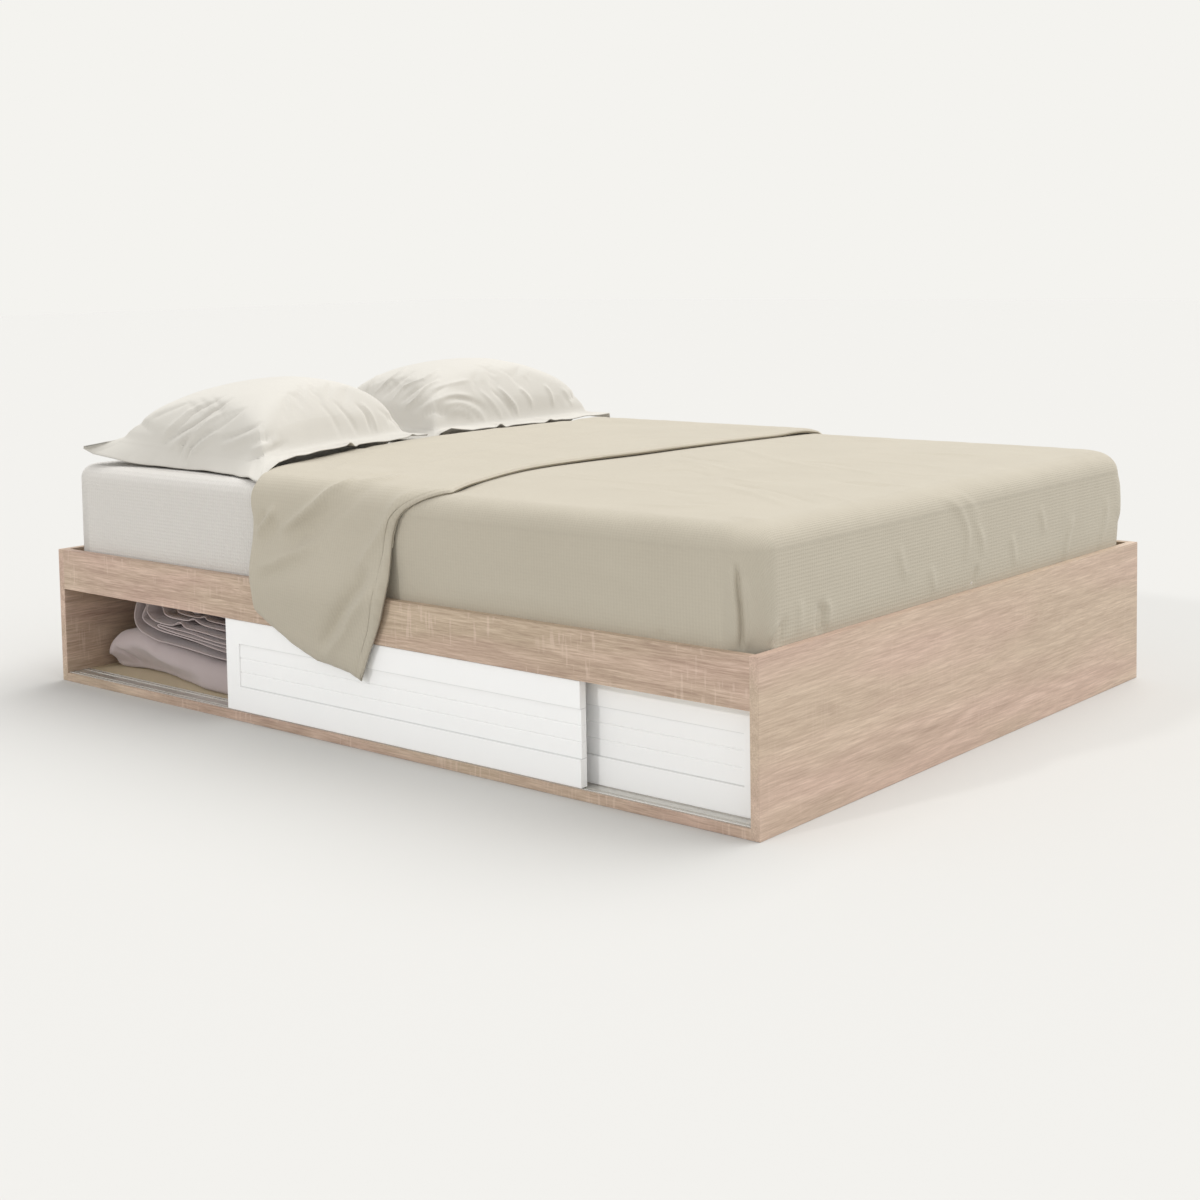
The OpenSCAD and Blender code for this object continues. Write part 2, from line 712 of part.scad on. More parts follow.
// Adds points along the straight sides of a ring of corner arcs
function fill_ring(ring, steps) =
    [for (k = [0:len(ring) - 1])
        let (a = ring[k], b = ring[(k + 1) % len(ring)], n = k % 6 == 5 ? steps : 1)
        for (j = [0:n - 1]) a + (b - a) * j / n];

// The top swells a little between the sides, in slow uneven waves
function duvet_swell(p, rise) =
    [p[0], p[1], p[2] + rise + rise * swell_waves * sin(p[0] * 0.55) * cos(p[1] * 0.6)];

function shrink_ring(ring, share, mid_x) =
    [for (p = ring) [mid_x + (p[0] - mid_x) * share, p[1] * share, p[2]]];

// The duvet's outer form, a shallow dome that runs down all round
module duvet_form() {
    mid_x = (near_fold_x + inner_l / 2) / 2;
    bulge = [[tuck_z, 0], [frame_h - 2, 0], [frame_h + 40, 0.7], [edge_z - 40, 1], [edge_z, 0.8]];
    sides = [for (b = bulge) duvet_ring(-duvet_bulge * b[1], b[0])];
    edge = [for (a = edge_turns)
        duvet_ring(duvet_edge_r * (1 - cos(a)) - duvet_bulge * 0.8, edge_z + duvet_edge_r * sin(a))];
    cap = [for (share = [0.75, 0.5, 0.25])
        shrink_ring(duvet_ring(duvet_edge_r, duvet_rim_z), share, mid_x)];
    rises = [0.45, 0.8, 0.95];
    rings = concat(
        [for (ring = concat(sides, edge)) fill_ring(ring, 5)],
        [for (k = [0:2]) [for (p = fill_ring(cap[k], 5)) duvet_swell(p, duvet_crown * rises[k])]]);
    translate([mid_x, 0, 0])
        ring_solid([for (ring = rings) [for (p = ring) [p[0] - mid_x, p[1], p[2]]]],
                   duvet_rim_z + duvet_crown);
}

module duvet() {
    color(linen) difference() {
        duvet_form();
        mattress_form(sheet_t + soft_clear);
    }
}

// Path of the turned back part across the bed: [y, z] at a distance off the duvet
function wrap_side(side, off, low_z) =
    let (out_y = frame_w / 2 + turnback_clear + off, top_y = side_y + duvet_bulge + soft_clear + off)
    [[side * (out_y + 1), low_z], [side * (out_y + 2), (low_z * 2 + frame_h) / 3],
     [side * (out_y + 1), (low_z + frame_h * 2) / 3], [side * out_y, frame_h],
     [side * (out_y + top_y * 2) / 3 + side * 3, frame_h + 45], [side * (top_y + 1), edge_z - 36],
     [side * top_y, edge_z]];

function wrap_edge(side, off) =
    let (r = duvet_edge_r + soft_clear + off)
    [for (a = edge_turns) [side * (edge_y + r * cos(a)), edge_z + r * sin(a)]];

function wrap_path(off, near_z, far_z) = concat(
    wrap_side(-1, off, near_z), wrap_edge(-1, off),
    let (crown = duvet_crown * (1 + swell_waves) + soft_clear)
    [for (k = [-3:3]) [edge_y * k / 4, duvet_rim_z + soft_clear + off + crown * (1 - pow(k / 4, 2))]],
    [for (k = [3:-1:0]) wrap_edge(1, off)[k]],
    [for (k = [6:-1:0]) wrap_side(1, off, far_z)[k]]);

module duvet_turnback() {
    steps = 12;
    function path(k, off) =
        let (share = k == 0 ? 0 : fold_share + (1 - fold_share) * (k - 1) / (steps - 1),
             near_z = drape_fold_z + (drape_tip_z - drape_fold_z) * share,
             full = wrap_path(off, near_z, drape_fold_z))
        [for (c = [0:len(full) - 1])
            let (x = fold_reach[c] + (hem_reach[c] - fold_reach[c]) * share - inner_l / 2,
                 drop = max(0, frame_h + 60 - full[c][1]) / (frame_h + 60 - drape_tip_z),
                 wave = drape_wave * drop * (1 + cos(share * 900 + c * 18)) / 2)
            [x, full[c][0] + (full[c][0] < 0 ? -wave : wave), full[c][1]]];
    color(linen) difference() {
        sheet_solid([for (k = [0:steps]) path(k, turnback_t)],
                    [for (k = [0:steps]) let (flat = path(k, 0), low = path(k, -duvet_t))
                        [for (c = [0:len(flat) - 1]) k == 0 && c > 9 && c < 19 ? low[c] : flat[c]]]);
        mattress_form(sheet_t + soft_clear);
    }
}

// Height of a stuffed pillow over its seam at (u, v), each from -1 to 1
function stuffed(u, v) = pow(max(0, 1 - u * u), 0.42) * pow(max(0, 1 - v * v), 0.42);

// A pillow whose case pulls in between its corners. Its near side may be longer than its
// far side, and it may lean to lie askew on the bed.
module pillow(length, taper, lean, skew) {
    steps = 20;
    seam_z = 14;
    end_pull = 0.08;
    side_pull = 0.05;
    corner_lift = 12;
    inner_u = 1 - 2 * pillow_flange / length;
    inner_v = 1 - 2 * pillow_flange / pillow_w;
    function place(k) = sin(90 * (2 * k / steps - 1));
    function fill_at(u, v) = stuffed(min(1, abs(u) / inner_u), min(1, abs(v) / inner_v));
    function seam(u, v) = seam_z + corner_lift * pow(abs(u * v), 4);
    function spot(u, v, z) =
        [u * (length / 2 - taper * v) * (1 - end_pull * (1 - v * v)) - lean * v,
         pillow_w / 2 * v * (1 - side_pull * (1 - u * u)) + skew * u, z];
    top = [for (i = [0:steps]) [for (j = [0:steps])
        let (u = place(i), v = place(j))
        spot(u, v, seam(u, v) + flange_t + (pillow_h - seam_z - flange_t) * fill_at(u, v))]];
    bottom = [for (i = [0:steps]) [for (j = [0:steps])
        let (u = place(i), v = place(j))
        spot(u, v, seam(u, v) - seam_z * min(1, 1.6 * fill_at(u, v)))]];
    sheet_solid(top, bottom);
}

module near_pillow() {
    taper = 22;
    lean = 62;
    middle_x = near_fold_x - pillow_gap - near_pillow_l / 2 - taper - lean;
    color(cotton)
        translate([middle_x, -pillow_y - 4, sheet_top + soft_clear])
            pillow(near_pillow_l, taper, lean, 34);
}

module far_pillow() {
    middle_x = far_fold_x - pillow_gap - far_pillow_l / 2;
    color(cotton)
        translate([middle_x, pillow_y, sheet_top + soft_clear])
            pillow(far_pillow_l, 0, 0, 0);
}

// One folded layer with round folds at both ends
module blanket_layer(l, h) {
    translate([h / 2, 0, 0]) cube([l - h, blanket_d, h]);
    for (x = [h / 2, l - h / 2])
        translate([x, 0, h / 2]) rotate([-90, 0, 0]) cylinder(d = h, h = blanket_d);
}

// Layers lie 0.5 mm into each other, and each lies a little askew of the one below
module lower_blanket() {
    half_h = lower_blanket_h / 2;
    color(mauve) for (k = [0, 1])
        translate([blanket_x + 12 * k, blanket_y + 10 * k, board_t + soft_clear + k * (half_h - 0.5)])
            blanket_layer(blanket_l, half_h);
}

module upper_blanket() {
    step_in = 114;
    color(mauve) for (k = [0:blanket_layers - 1])
        translate([blanket_x + step_in + 12 * (k % 2) + 3 * k, blanket_y + 16 + 8 * ((k + 1) % 2),
                   upper_blanket_z + k * (upper_layer_h - 0.5)])
            blanket_layer(blanket_l - 1.3 * step_in, upper_layer_h);
}

head_panel();
foot_panel();
front_rail();
rear_panel();
storage_floor();
centre_partition();
cross_divider();
front_ledger();
rear_ledger();
bottom_track();
front_top_guide();
rear_top_guide();
front_door_panel();
front_door_glides();
front_door_pins();
rear_door_panel();
rear_door_glides();
rear_door_pins();
slat_tapes();
cam_locks();
cam_bolts();
dowels();
ledger_screws();
slat_screws();
for (k = [1:slat_count]) slat(k);
mattress();
fitted_sheet();
duvet();
duvet_turnback();
near_pillow();
far_pillow();
lower_blanket();
upper_blanket();
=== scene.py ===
# Dresses the low storage bed: boards, sliding doors, running gear and bedding.
import math

import bmesh
import bpy
import numpy as np
from mathutils import Matrix, Vector
from mathutils.bvhtree import BVHTree


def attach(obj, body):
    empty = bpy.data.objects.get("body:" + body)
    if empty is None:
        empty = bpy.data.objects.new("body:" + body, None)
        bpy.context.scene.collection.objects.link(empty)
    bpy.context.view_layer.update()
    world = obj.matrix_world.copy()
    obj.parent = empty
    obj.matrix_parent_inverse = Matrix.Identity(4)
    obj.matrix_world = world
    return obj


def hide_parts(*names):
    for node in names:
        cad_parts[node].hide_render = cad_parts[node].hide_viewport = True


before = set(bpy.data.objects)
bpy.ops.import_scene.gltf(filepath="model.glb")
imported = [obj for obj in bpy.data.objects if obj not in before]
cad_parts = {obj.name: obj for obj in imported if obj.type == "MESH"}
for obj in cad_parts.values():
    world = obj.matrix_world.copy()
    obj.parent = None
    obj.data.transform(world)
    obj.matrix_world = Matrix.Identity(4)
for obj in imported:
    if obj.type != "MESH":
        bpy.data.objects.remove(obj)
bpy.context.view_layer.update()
print("bed frame loaded:", len(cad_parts), "nodes")


# Camera at the photograph's viewing angle, and a plain pale studio

view = {"place": (2.64194, -3.08607, 0.94112), "yaw": 0.7002, "pitch": 0.0768, "roll": -0.0162,
        "lens": 54.90, "sensor": 36.0, "shiftY": -0.1667, "picture": 1200, "clipEnd": 200.0}

studio = {"floorSize": 60.0, "floorZ": -0.0006, "floorColor": (0.618, 0.611, 0.590, 1.0),
          "backColor": (0.905, 0.896, 0.863, 1.0), "skyColor": (1.0, 1.0, 1.0, 1.0), "sky": 0.70,
          # each lamp: power, softness in degrees, height over the horizon, and where it shines from
          "lamps": {"backLamp": (1.93, 52.0, 60.0, 78.0), "rearLamp": (0.48, 50.0, 48.0, 14.0),
                    "frontLamp": (0.64, 3.5, 26.0, -105.0), "sideLamp": (0.15, 50.0, 22.0, -20.0)}}


def addObject(name, data):
    made = bpy.data.objects.new(name, data)
    bpy.context.scene.collection.objects.link(made)
    return made


def cameraTurn(size):
    return (Matrix.Rotation(view["yaw"], size, "Z")
            @ Matrix.Rotation(math.pi / 2 - view["pitch"], size, "X")
            @ Matrix.Rotation(view["roll"], size, "Z"))


def addCamera():
    cam = bpy.data.cameras.new("bedCamera")
    cam.lens = view["lens"]
    cam.sensor_width = view["sensor"]
    cam.shift_y = view["shiftY"]
    cam.clip_end = view["clipEnd"]
    camera = addObject("bedCamera", cam)
    camera.matrix_world = Matrix.Translation(view["place"]) @ cameraTurn(4)
    bpy.context.scene.camera = camera


# Short ways to write a node tree: a value that is a socket gets linked


def setInputs(tree, node, values):
    for name, value in values.items():
        if isinstance(value, bpy.types.NodeSocket):
            tree.links.new(value, node.inputs[name])
        else:
            node.inputs[name].default_value = value


def place(tree, kind, values=None, **settings):
    made = tree.nodes.new(kind)
    for name, value in settings.items():
        setattr(made, name, value)
    setInputs(tree, made, values or {})
    return made


def math2(tree, operation, a, b=0.0, clamp=False):
    return place(tree, "ShaderNodeMath", {0: a, 1: b}, operation=operation, use_clamp=clamp).outputs[0]


def add(tree, a, b, clamp=False):
    return math2(tree, "ADD", a, b, clamp)


def sub(tree, a, b):
    return math2(tree, "SUBTRACT", a, b)


def mul(tree, a, b):
    return math2(tree, "MULTIPLY", a, b)


def blendColor(tree, share, a, b, mode="MIX"):
    made = place(tree, "ShaderNodeMix", {0: share, 6: a, 7: b}, data_type="RGBA", blend_type=mode)
    return made.outputs[2]


def remap(tree, value, low, high, newLow=0.0, newHigh=1.0):
    made = place(tree, "ShaderNodeMapRange", {"Value": value, "From Min": low, "From Max": high,
                                              "To Min": newLow, "To Max": newHigh})
    return made.outputs[0]


def noise(tree, vector, scale, detail=2.0, roughness=0.5):
    made = place(tree, "ShaderNodeTexNoise", {"Vector": vector, "Scale": scale, "Detail": detail,
                                              "Roughness": roughness})
    return made.outputs[0]


def stretch(tree, vector, scale, shift=(0.0, 0.0, 0.0)):
    made = place(tree, "ShaderNodeMapping", {"Vector": vector, "Location": shift, "Scale": scale})
    return made.outputs[0]


def objectSpot(tree):
    return place(tree, "ShaderNodeTexCoord").outputs["Object"]


def partsOf(tree, vector):
    return place(tree, "ShaderNodeSeparateXYZ", {0: vector}).outputs


def newGroup(name, colors, numbers, gives):
    tree = bpy.data.node_groups.new(name, "ShaderNodeTree")
    takes = [("Vector", "Vector")] + [(label, "Color") for label in colors]
    for label, kind in takes + [(label, "Float") for label in numbers]:
        tree.interface.new_socket(name=label, in_out="INPUT", socket_type="NodeSocket" + kind)
    for label in gives:
        kind = "Color" if label == "Color" else "Float"
        tree.interface.new_socket(name=label, in_out="OUTPUT", socket_type="NodeSocket" + kind)
    return tree, tree.nodes.new("NodeGroupInput").outputs, tree.nodes.new("NodeGroupOutput")


def newMaterial(name, roughness, shader):
    mat = bpy.data.materials.new(name)
    mat.use_nodes = True
    tree = mat.node_tree
    skin = tree.nodes["Principled BSDF"]
    setInputs(tree, skin, {"Roughness": roughness, **shader})
    return mat, tree, skin


# A group's colour, roughness and height go to the surface
def addFilm(tree, skin, group, values, bump, bumpDepth):
    film = place(tree, "ShaderNodeGroup", values, node_tree=group).outputs
    setInputs(tree, skin, {"Base Color": film["Color"]})
    if "Roughness" in film:
        setInputs(tree, skin, {"Roughness": film["Roughness"]})
    relief = place(tree, "ShaderNodeBump", {"Height": film["Height"], "Strength": bump,
                                           "Distance": bumpDepth})
    setInputs(tree, skin, {"Normal": relief.outputs[0]})
    return film["Color"]


def addLamp(name, power, softness, height, around):
    sun = bpy.data.lights.new(name, "SUN")
    sun.energy = power
    sun.angle = math.radians(softness)
    lamp = addObject(name, sun)
    lamp.rotation_euler = (math.radians(90.0 - height), 0.0, math.radians(around + 90.0))


def addStudio():
    world = bpy.data.worlds.new("studioAir")
    bpy.context.scene.world = world
    world.use_nodes = True
    tree = world.node_tree
    sky = tree.nodes["Background"]
    setInputs(tree, sky, {"Color": studio["skyColor"], "Strength": studio["sky"]})
    back = place(tree, "ShaderNodeBackground", {"Color": studio["backColor"], "Strength": 1.0})
    ray = place(tree, "ShaderNodeLightPath").outputs
    seen = math2(tree, "MAXIMUM", ray["Is Camera Ray"], ray["Is Glossy Ray"])
    seen = math2(tree, "MAXIMUM", seen, ray["Is Transmission Ray"])
    mix = place(tree, "ShaderNodeMixShader", {0: seen, 1: sky.outputs[0], 2: back.outputs[0]})
    setInputs(tree, tree.nodes["World Output"], {"Surface": mix.outputs[0]})
    for name, lamp in studio["lamps"].items():
        addLamp(name, *lamp)

    half = studio["floorSize"] / 2
    mesh = bpy.data.meshes.new("studioFloor")
    mesh.from_pydata([(-half, -half, 0), (half, -half, 0), (half, half, 0), (-half, half, 0)], [],
                     [(0, 1, 2, 3)])
    floor = addObject("studioFloor", mesh)
    floor.location.z = studio["floorZ"]
    paper = newMaterial("floorPaper", 0.95, {"Base Color": studio["floorColor"], "Specular IOR Level": 0.0})
    mesh.materials.append(paper[0])


addCamera()
addStudio()
bpy.context.scene.view_settings.view_transform = "Standard"
print("camera and studio ready")


# Wood grain along the vector's X: long fine streaks, arched figure, dark pores and pale saw marks


def buildGrain():
    tree, takes, gives = newGroup("grainFigure", ["Light", "Middle", "Dark"],
                                  ["Figure Scale", "Figure", "Streaks", "Pores", "Saw Marks"],
                                  ["Color", "Roughness", "Height"])

    def drawnOut(vector, along, across, detail=2.0, roughness=0.5):
        return noise(tree, stretch(tree, vector, (along, across, across)), 1.0, detail, roughness)

    vec = takes["Vector"]
    scaled = place(tree, "ShaderNodeVectorMath", {0: vec, "Scale": takes["Figure Scale"]},
                   operation="SCALE").outputs[0]
    spot = partsOf(tree, scaled)
    across = add(tree, mul(tree, spot[2], 150.0), mul(tree, spot[1], 110.0))
    rings = math2(tree, "SINE", add(tree, across, mul(tree, drawnOut(scaled, 1.5, 4.5), 60.0)))
    rings = mul(tree, rings, remap(tree, drawnOut(scaled, 0.6, 6.0, 1.0), 0.45, 0.62))
    streaks = drawnOut(scaled, 15.0, 330.0, 5.0, 0.7)
    bands = drawnOut(scaled, 2.2, 42.0)
    tone = mul(tree, rings, mul(tree, takes["Figure"], 0.16))
    tone = add(tree, tone, mul(tree, sub(tree, streaks, 0.5), takes["Streaks"]))
    tone = add(tree, tone, mul(tree, sub(tree, bands, 0.5), mul(tree, takes["Figure"], 0.9)))
    tone = add(tree, tone, 0.5, True)
    color = blendColor(tree, remap(tree, tone, 0.1, 0.5), takes["Light"], takes["Middle"])
    color = blendColor(tree, remap(tree, tone, 0.5, 1.05), color, takes["Dark"])
    # patches lean a little to pink or to straw
    hue = remap(tree, drawnOut(vec, 1.6, 9.0), 0.38, 0.62)
    lean = blendColor(tree, hue, (1.03, 0.975, 0.985, 1), (0.97, 1.0, 0.93, 1))
    color = blendColor(tree, 1.0, color, lean, "MULTIPLY")
    pores = remap(tree, drawnOut(vec, 34.0, 700.0, 2.0, 0.6), 0.54, 0.68)
    pores = mul(tree, pores, remap(tree, drawnOut(vec, 5.0, 26.0), 0.44, 0.66, 0.12, 1.0))
    color = blendColor(tree, mul(tree, pores, takes["Pores"]), color, takes["Dark"])
    ticks = remap(tree, drawnOut(vec, 170.0, 17.0, 1.0, 0.4), 0.58, 0.66)
    ticks = mul(tree, ticks, remap(tree, drawnOut(vec, 7.0, 12.0), 0.48, 0.56))
    ticks = mul(tree, ticks, remap(tree, streaks, 0.3, 0.6, 1.0, 0.6))
    ticks = mul(tree, ticks, takes["Saw Marks"])
    height = sub(tree, sub(tree, mul(tree, ticks, 0.5), pores), mul(tree, streaks, 0.6))
    setInputs(tree, gives, {"Color": blendColor(tree, ticks, color, takes["Light"]), "Height": height,
                            "Roughness": remap(tree, pores, 0.0, 1.0, 0.56, 0.72)})
    return tree


grainFigure = buildGrain()

oakLook = {"Light": (0.690, 0.540, 0.435, 1), "Middle": (0.505, 0.378, 0.292, 1),
           "Dark": (0.300, 0.203, 0.150, 1), "Figure Scale": 1.0, "Figure": 0.75, "Streaks": 1.7,
           "Pores": 0.5, "Saw Marks": 0.6}
pineLook = {"Light": (0.78, 0.60, 0.38, 1), "Middle": (0.70, 0.50, 0.28, 1), "Dark": (0.48, 0.29, 0.13, 1),
            "Figure Scale": 0.6, "Figure": 0.9, "Streaks": 0.7, "Pores": 0.1, "Saw Marks": 0.0}
beechLook = {"Light": (0.70, 0.50, 0.33, 1), "Middle": (0.62, 0.42, 0.26, 1), "Dark": (0.42, 0.26, 0.15, 1),
             "Figure Scale": 2.0, "Figure": 0.4, "Streaks": 0.8, "Pores": 0.5, "Saw Marks": 0.0}


# The grain runs along the object's X or Y, and its shift sets one board apart from the next
def woodMaterial(name, look, along, shift, roughness=0.6, bump=0.1):
    mat, tree, skin = newMaterial(name, roughness, {})
    where = objectSpot(tree)
    if along == "Y":
        spot = partsOf(tree, where)
        where = place(tree, "ShaderNodeCombineXYZ", {0: spot[1], 1: spot[0], 2: spot[2]}).outputs[0]
    where = stretch(tree, where, (1.0, 1.0, 1.0), (shift, shift * 0.37, shift * 0.71))
    color = addFilm(tree, skin, grainFigure, {"Vector": where, **look}, bump, 0.0004)
    return mat, tree, skin, color


# Fine mottling for smooth plastic, laminate and metal
def buildMottle():
    tree, takes, gives = newGroup("fineMottle", ["Color", "Shade"],
                                  ["Patch Scale", "Grain Scale", "Roughness"],
                                  ["Color", "Roughness", "Height"])
    patches = noise(tree, takes["Vector"], takes["Patch Scale"], 3.0)
    grit = noise(tree, takes["Vector"], takes["Grain Scale"], 2.0)
    share = add(tree, remap(tree, patches, 0.35, 0.65, 0.0, 0.7), remap(tree, grit, 0.4, 0.6, 0.0, 0.3))
    sheen = add(tree, takes["Roughness"], remap(tree, patches, 0.3, 0.7, -0.04, 0.04))
    setInputs(tree, gives, {"Color": blendColor(tree, share, takes["Color"], takes["Shade"]),
                            "Roughness": sheen, "Height": grit})
    return tree


fineMottle = buildMottle()


def smoothMaterial(name, color, shade, roughness, patchScale=9.0, grainScale=700.0, bump=0.05, metallic=0.0):
    mat, tree, skin = newMaterial(name, roughness, {"Metallic": metallic})
    values = {"Vector": objectSpot(tree), "Color": (*color, 1), "Shade": (*shade, 1),
              "Patch Scale": patchScale, "Grain Scale": grainScale, "Roughness": roughness}
    return mat, tree, skin, addFilm(tree, skin, fineMottle, values, bump, 0.0002)


def coatNode(name, mat):
    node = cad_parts[name]
    node.data.materials.clear()
    node.data.materials.append(mat)
    for face in node.data.polygons:
        face.material_index = 0


boards = {"head_panel": {"grain": ("Y", 3.1)},
          # the foot panel's oak is mixed towards its light tone: painted light for the stronger light on
          # that end
          "foot_panel": {"grain": ("Y", 0.0), "paintedLightShare": 0.24, "sawMarks": 0.15},
          "front_rail": {"grain": ("X", 1.7)}, "rear_panel": {"grain": ("X", 5.3)},
          # behind the doors' track this board's upper face is a plain backing paper
          "storage_floor": {"grain": ("X", 8.2), "paperY": (-0.6675, -0.6665), "paperZ": (0.0172, 0.0178),
                            "paper": (0.62, 0.53, 0.37, 1.0), "paperShade": (0.5704, 0.4876, 0.3404, 1.0)},
          "centre_partition": {"grain": ("X", 11.9)}, "cross_divider": {"grain": ("Y", 14.6)}}


def coatBoard(name, board):
    look = dict(oakLook)
    look["Saw Marks"] = board.get("sawMarks", look["Saw Marks"])
    mat, tree, skin, color = woodMaterial("oak_" + name, look, *board["grain"], 0.55, 0.18)
    # painted light: the board's oak mixed towards its light tone
    if "paintedLightShare" in board:
        color = blendColor(tree, board["paintedLightShare"], color, oakLook["Light"])
    if "paper" in board:
        spot = partsOf(tree, objectSpot(tree))
        covered = mul(tree, remap(tree, spot[1], *board["paperY"]), remap(tree, spot[2], *board["paperZ"]))
        paper = blendColor(tree, noise(tree, spot[1], 300.0, 3.0), board["paper"], board["paperShade"])
        color = blendColor(tree, covered, color, paper)
    setInputs(tree, skin, {"Base Color": color})
    coatNode(name, mat)


for name, board in boards.items():
    coatBoard(name, board)
for name, shift in (("front_ledger", 12.0), ("rear_ledger", 11.0)):
    coatNode(name, woodMaterial("pine_" + name, pineLook, "X", shift)[0])
for k in range(1, 14):
    coatNode(f"slat_{k}", woodMaterial(f"pine_slat_{k}", pineLook, "Y", 2.3 * k)[0])
coatNode("dowels", woodMaterial("beech", beechLook, "X", 0.4)[0])

doorFilm = {"color": (0.965, 0.965, 0.958), "shade": (0.955, 0.955, 0.947), "roughness": 0.38,
            "patchScale": 6.0, "grainScale": 900.0, "bump": 0.02}
# Painted shade: thin grey lines along the recess's edges and the planks' grooves, where shade falls; each is
# (height, share)
doorGrooveShade = {"levels": [(0.0716, 1.0), (0.1602, 0.8), (0.1011, 0.25), (0.1307, 0.25)], "half": 0.0007,
             "soft": 0.0004, "endSoft": 0.0003, "color": (0.74, 0.745, 0.735, 1),
             "reach": {"front_door_panel": (-0.340, 0.700), "rear_door_panel": (-0.100, 0.9125)}}


def coatDoor(name, low, high):
    d = doorGrooveShade
    mat, tree, skin, film = smoothMaterial(name + "_white", **doorFilm)
    spot = partsOf(tree, objectSpot(tree))
    # the painted shade lines, kept within the recessed field
    lines = 0.0
    for level, share in d["levels"]:
        away = math2(tree, "ABSOLUTE", sub(tree, spot[2], level))
        line = remap(tree, away, d["half"], d["half"] + d["soft"], share, 0.0)
        lines = math2(tree, "MAXIMUM", lines, line)
    inside = mul(tree, remap(tree, spot[0], low - d["endSoft"], low),
                 remap(tree, spot[0], high, high + d["endSoft"], 1.0, 0.0))
    setInputs(tree, skin, {"Base Color": blendColor(tree, mul(tree, lines, inside), film, d["color"])})
    coatNode(name, mat)


for name, reach in doorGrooveShade["reach"].items():
    coatDoor(name, *reach)

# The track is bare metal; the tops of its lips get a painted highlight, pale and not metallic
trackFilm = {"color": (0.62, 0.60, 0.56), "shade": (0.58, 0.56, 0.52), "roughness": 0.20, "patchScale": 14.0,
             "grainScale": 500.0, "bump": 0.0, "metallic": 0.5}
trackTopHighlight = {"heights": (0.01985, 0.01995), "color": (0.93, 0.93, 0.92, 1)}


def coatTrack():
    mat, tree, skin, film = smoothMaterial("track_metal", **trackFilm)
    # painted highlight on the lips' tops
    litLipTops = remap(tree, partsOf(tree, objectSpot(tree))[2], *trackTopHighlight["heights"])
    setInputs(tree, skin, {"Base Color": blendColor(tree, litLipTops, film, trackTopHighlight["color"]),
                           "Metallic": remap(tree, litLipTops, 0.0, 1.0, trackFilm["metallic"], 0.0)})
    coatNode("bottom_track", mat)


coatTrack()

fittings = [
    ("guide_plastic", {"color": (0.86, 0.86, 0.85), "shade": (0.82, 0.82, 0.81), "roughness": 0.45},
     ["front_top_guide", "rear_top_guide"]),
    ("nylon", {"color": (0.83, 0.82, 0.78), "shade": (0.78, 0.77, 0.73), "roughness": 0.5},
     ["front_door_glides", "rear_door_glides", "front_door_pins", "rear_door_pins"]),
    ("zinc", {"color": (0.66, 0.67, 0.68), "shade": (0.55, 0.56, 0.57), "roughness": 0.36,
              "patchScale": 60.0, "grainScale": 900.0, "bump": 0.08, "metallic": 0.95},
     ["cam_locks", "cam_bolts", "ledger_screws", "slat_screws"])]
for name, look, nodes in fittings:
    mat = smoothMaterial(name, **look)[0]
    for node in nodes:
        coatNode(node, mat)
print("boards, doors and fittings coated")


# Woven cloth seen close: threads, ribs and slow colour changes, in the cloth's own metres


def buildWeave():
    tree, takes, gives = newGroup("threadWeave", ["Color", "Shade"],
                                  ["Thread", "Rib", "Rib Depth", "Slub"], ["Color", "Height"])
    vec = takes["Vector"]
    spot = partsOf(tree, vec)
    jitter = mul(tree, noise(tree, vec, 160.0), 2.2)
    threads, ribs, slubs = [], [], []
    for k, scale in enumerate(((60.0, 420.0, 60.0), (420.0, 60.0, 60.0))):
        phase = mul(tree, spot[k], 2 * math.pi)
        threads.append(math2(tree, "SINE", math2(tree, "DIVIDE", phase, takes["Thread"])))
        ribs.append(math2(tree, "SINE", add(tree, math2(tree, "DIVIDE", phase, takes["Rib"]), jitter)))
        slubs.append(noise(tree, stretch(tree, vec, scale), 1.0, 3.0, 0.6))
    rib = add(tree, ribs[0], mul(tree, ribs[1], 0.45))
    slub = sub(tree, math2(tree, "MAXIMUM", *slubs), 0.55)
    height = add(tree, mul(tree, mul(tree, *threads), 0.25), mul(tree, rib, takes["Rib Depth"]))
    height = add(tree, height, mul(tree, slub, takes["Slub"]))
    patches = remap(tree, noise(tree, vec, 5.0, 3.0), 0.3, 0.7, -0.5, 0.5)
    # the weave's lower parts take more of the shade colour: painted shade in its hollows; the patches are
    # the cloth's own tone
    share = add(tree, mul(tree, patches, 0.25), mul(tree, height, -0.22))
    color = blendColor(tree, add(tree, share, 0.35, True), takes["Color"], takes["Shade"])
    setInputs(tree, gives, {"Color": color, "Height": height})
    return tree


threadWeave = buildWeave()


def clothMaterial(name, color, shade, thread, rib, ribDepth, slub, bump, bumpDepth=0.0006, **sheen):
    mat, tree, skin = newMaterial(name, 0.92, {"Sheen Roughness": 0.5, "Specular IOR Level": 0.25, **sheen})
    where = place(tree, "ShaderNodeAttribute", attribute_name="clothMap").outputs["Vector"]
    values = {"Vector": where, "Color": (*color, 1), "Shade": (*shade, 1), "Thread": thread, "Rib": rib,
              "Rib Depth": ribDepth, "Slub": slub}
    addFilm(tree, skin, threadWeave, values, bump, bumpDepth)
    return mat


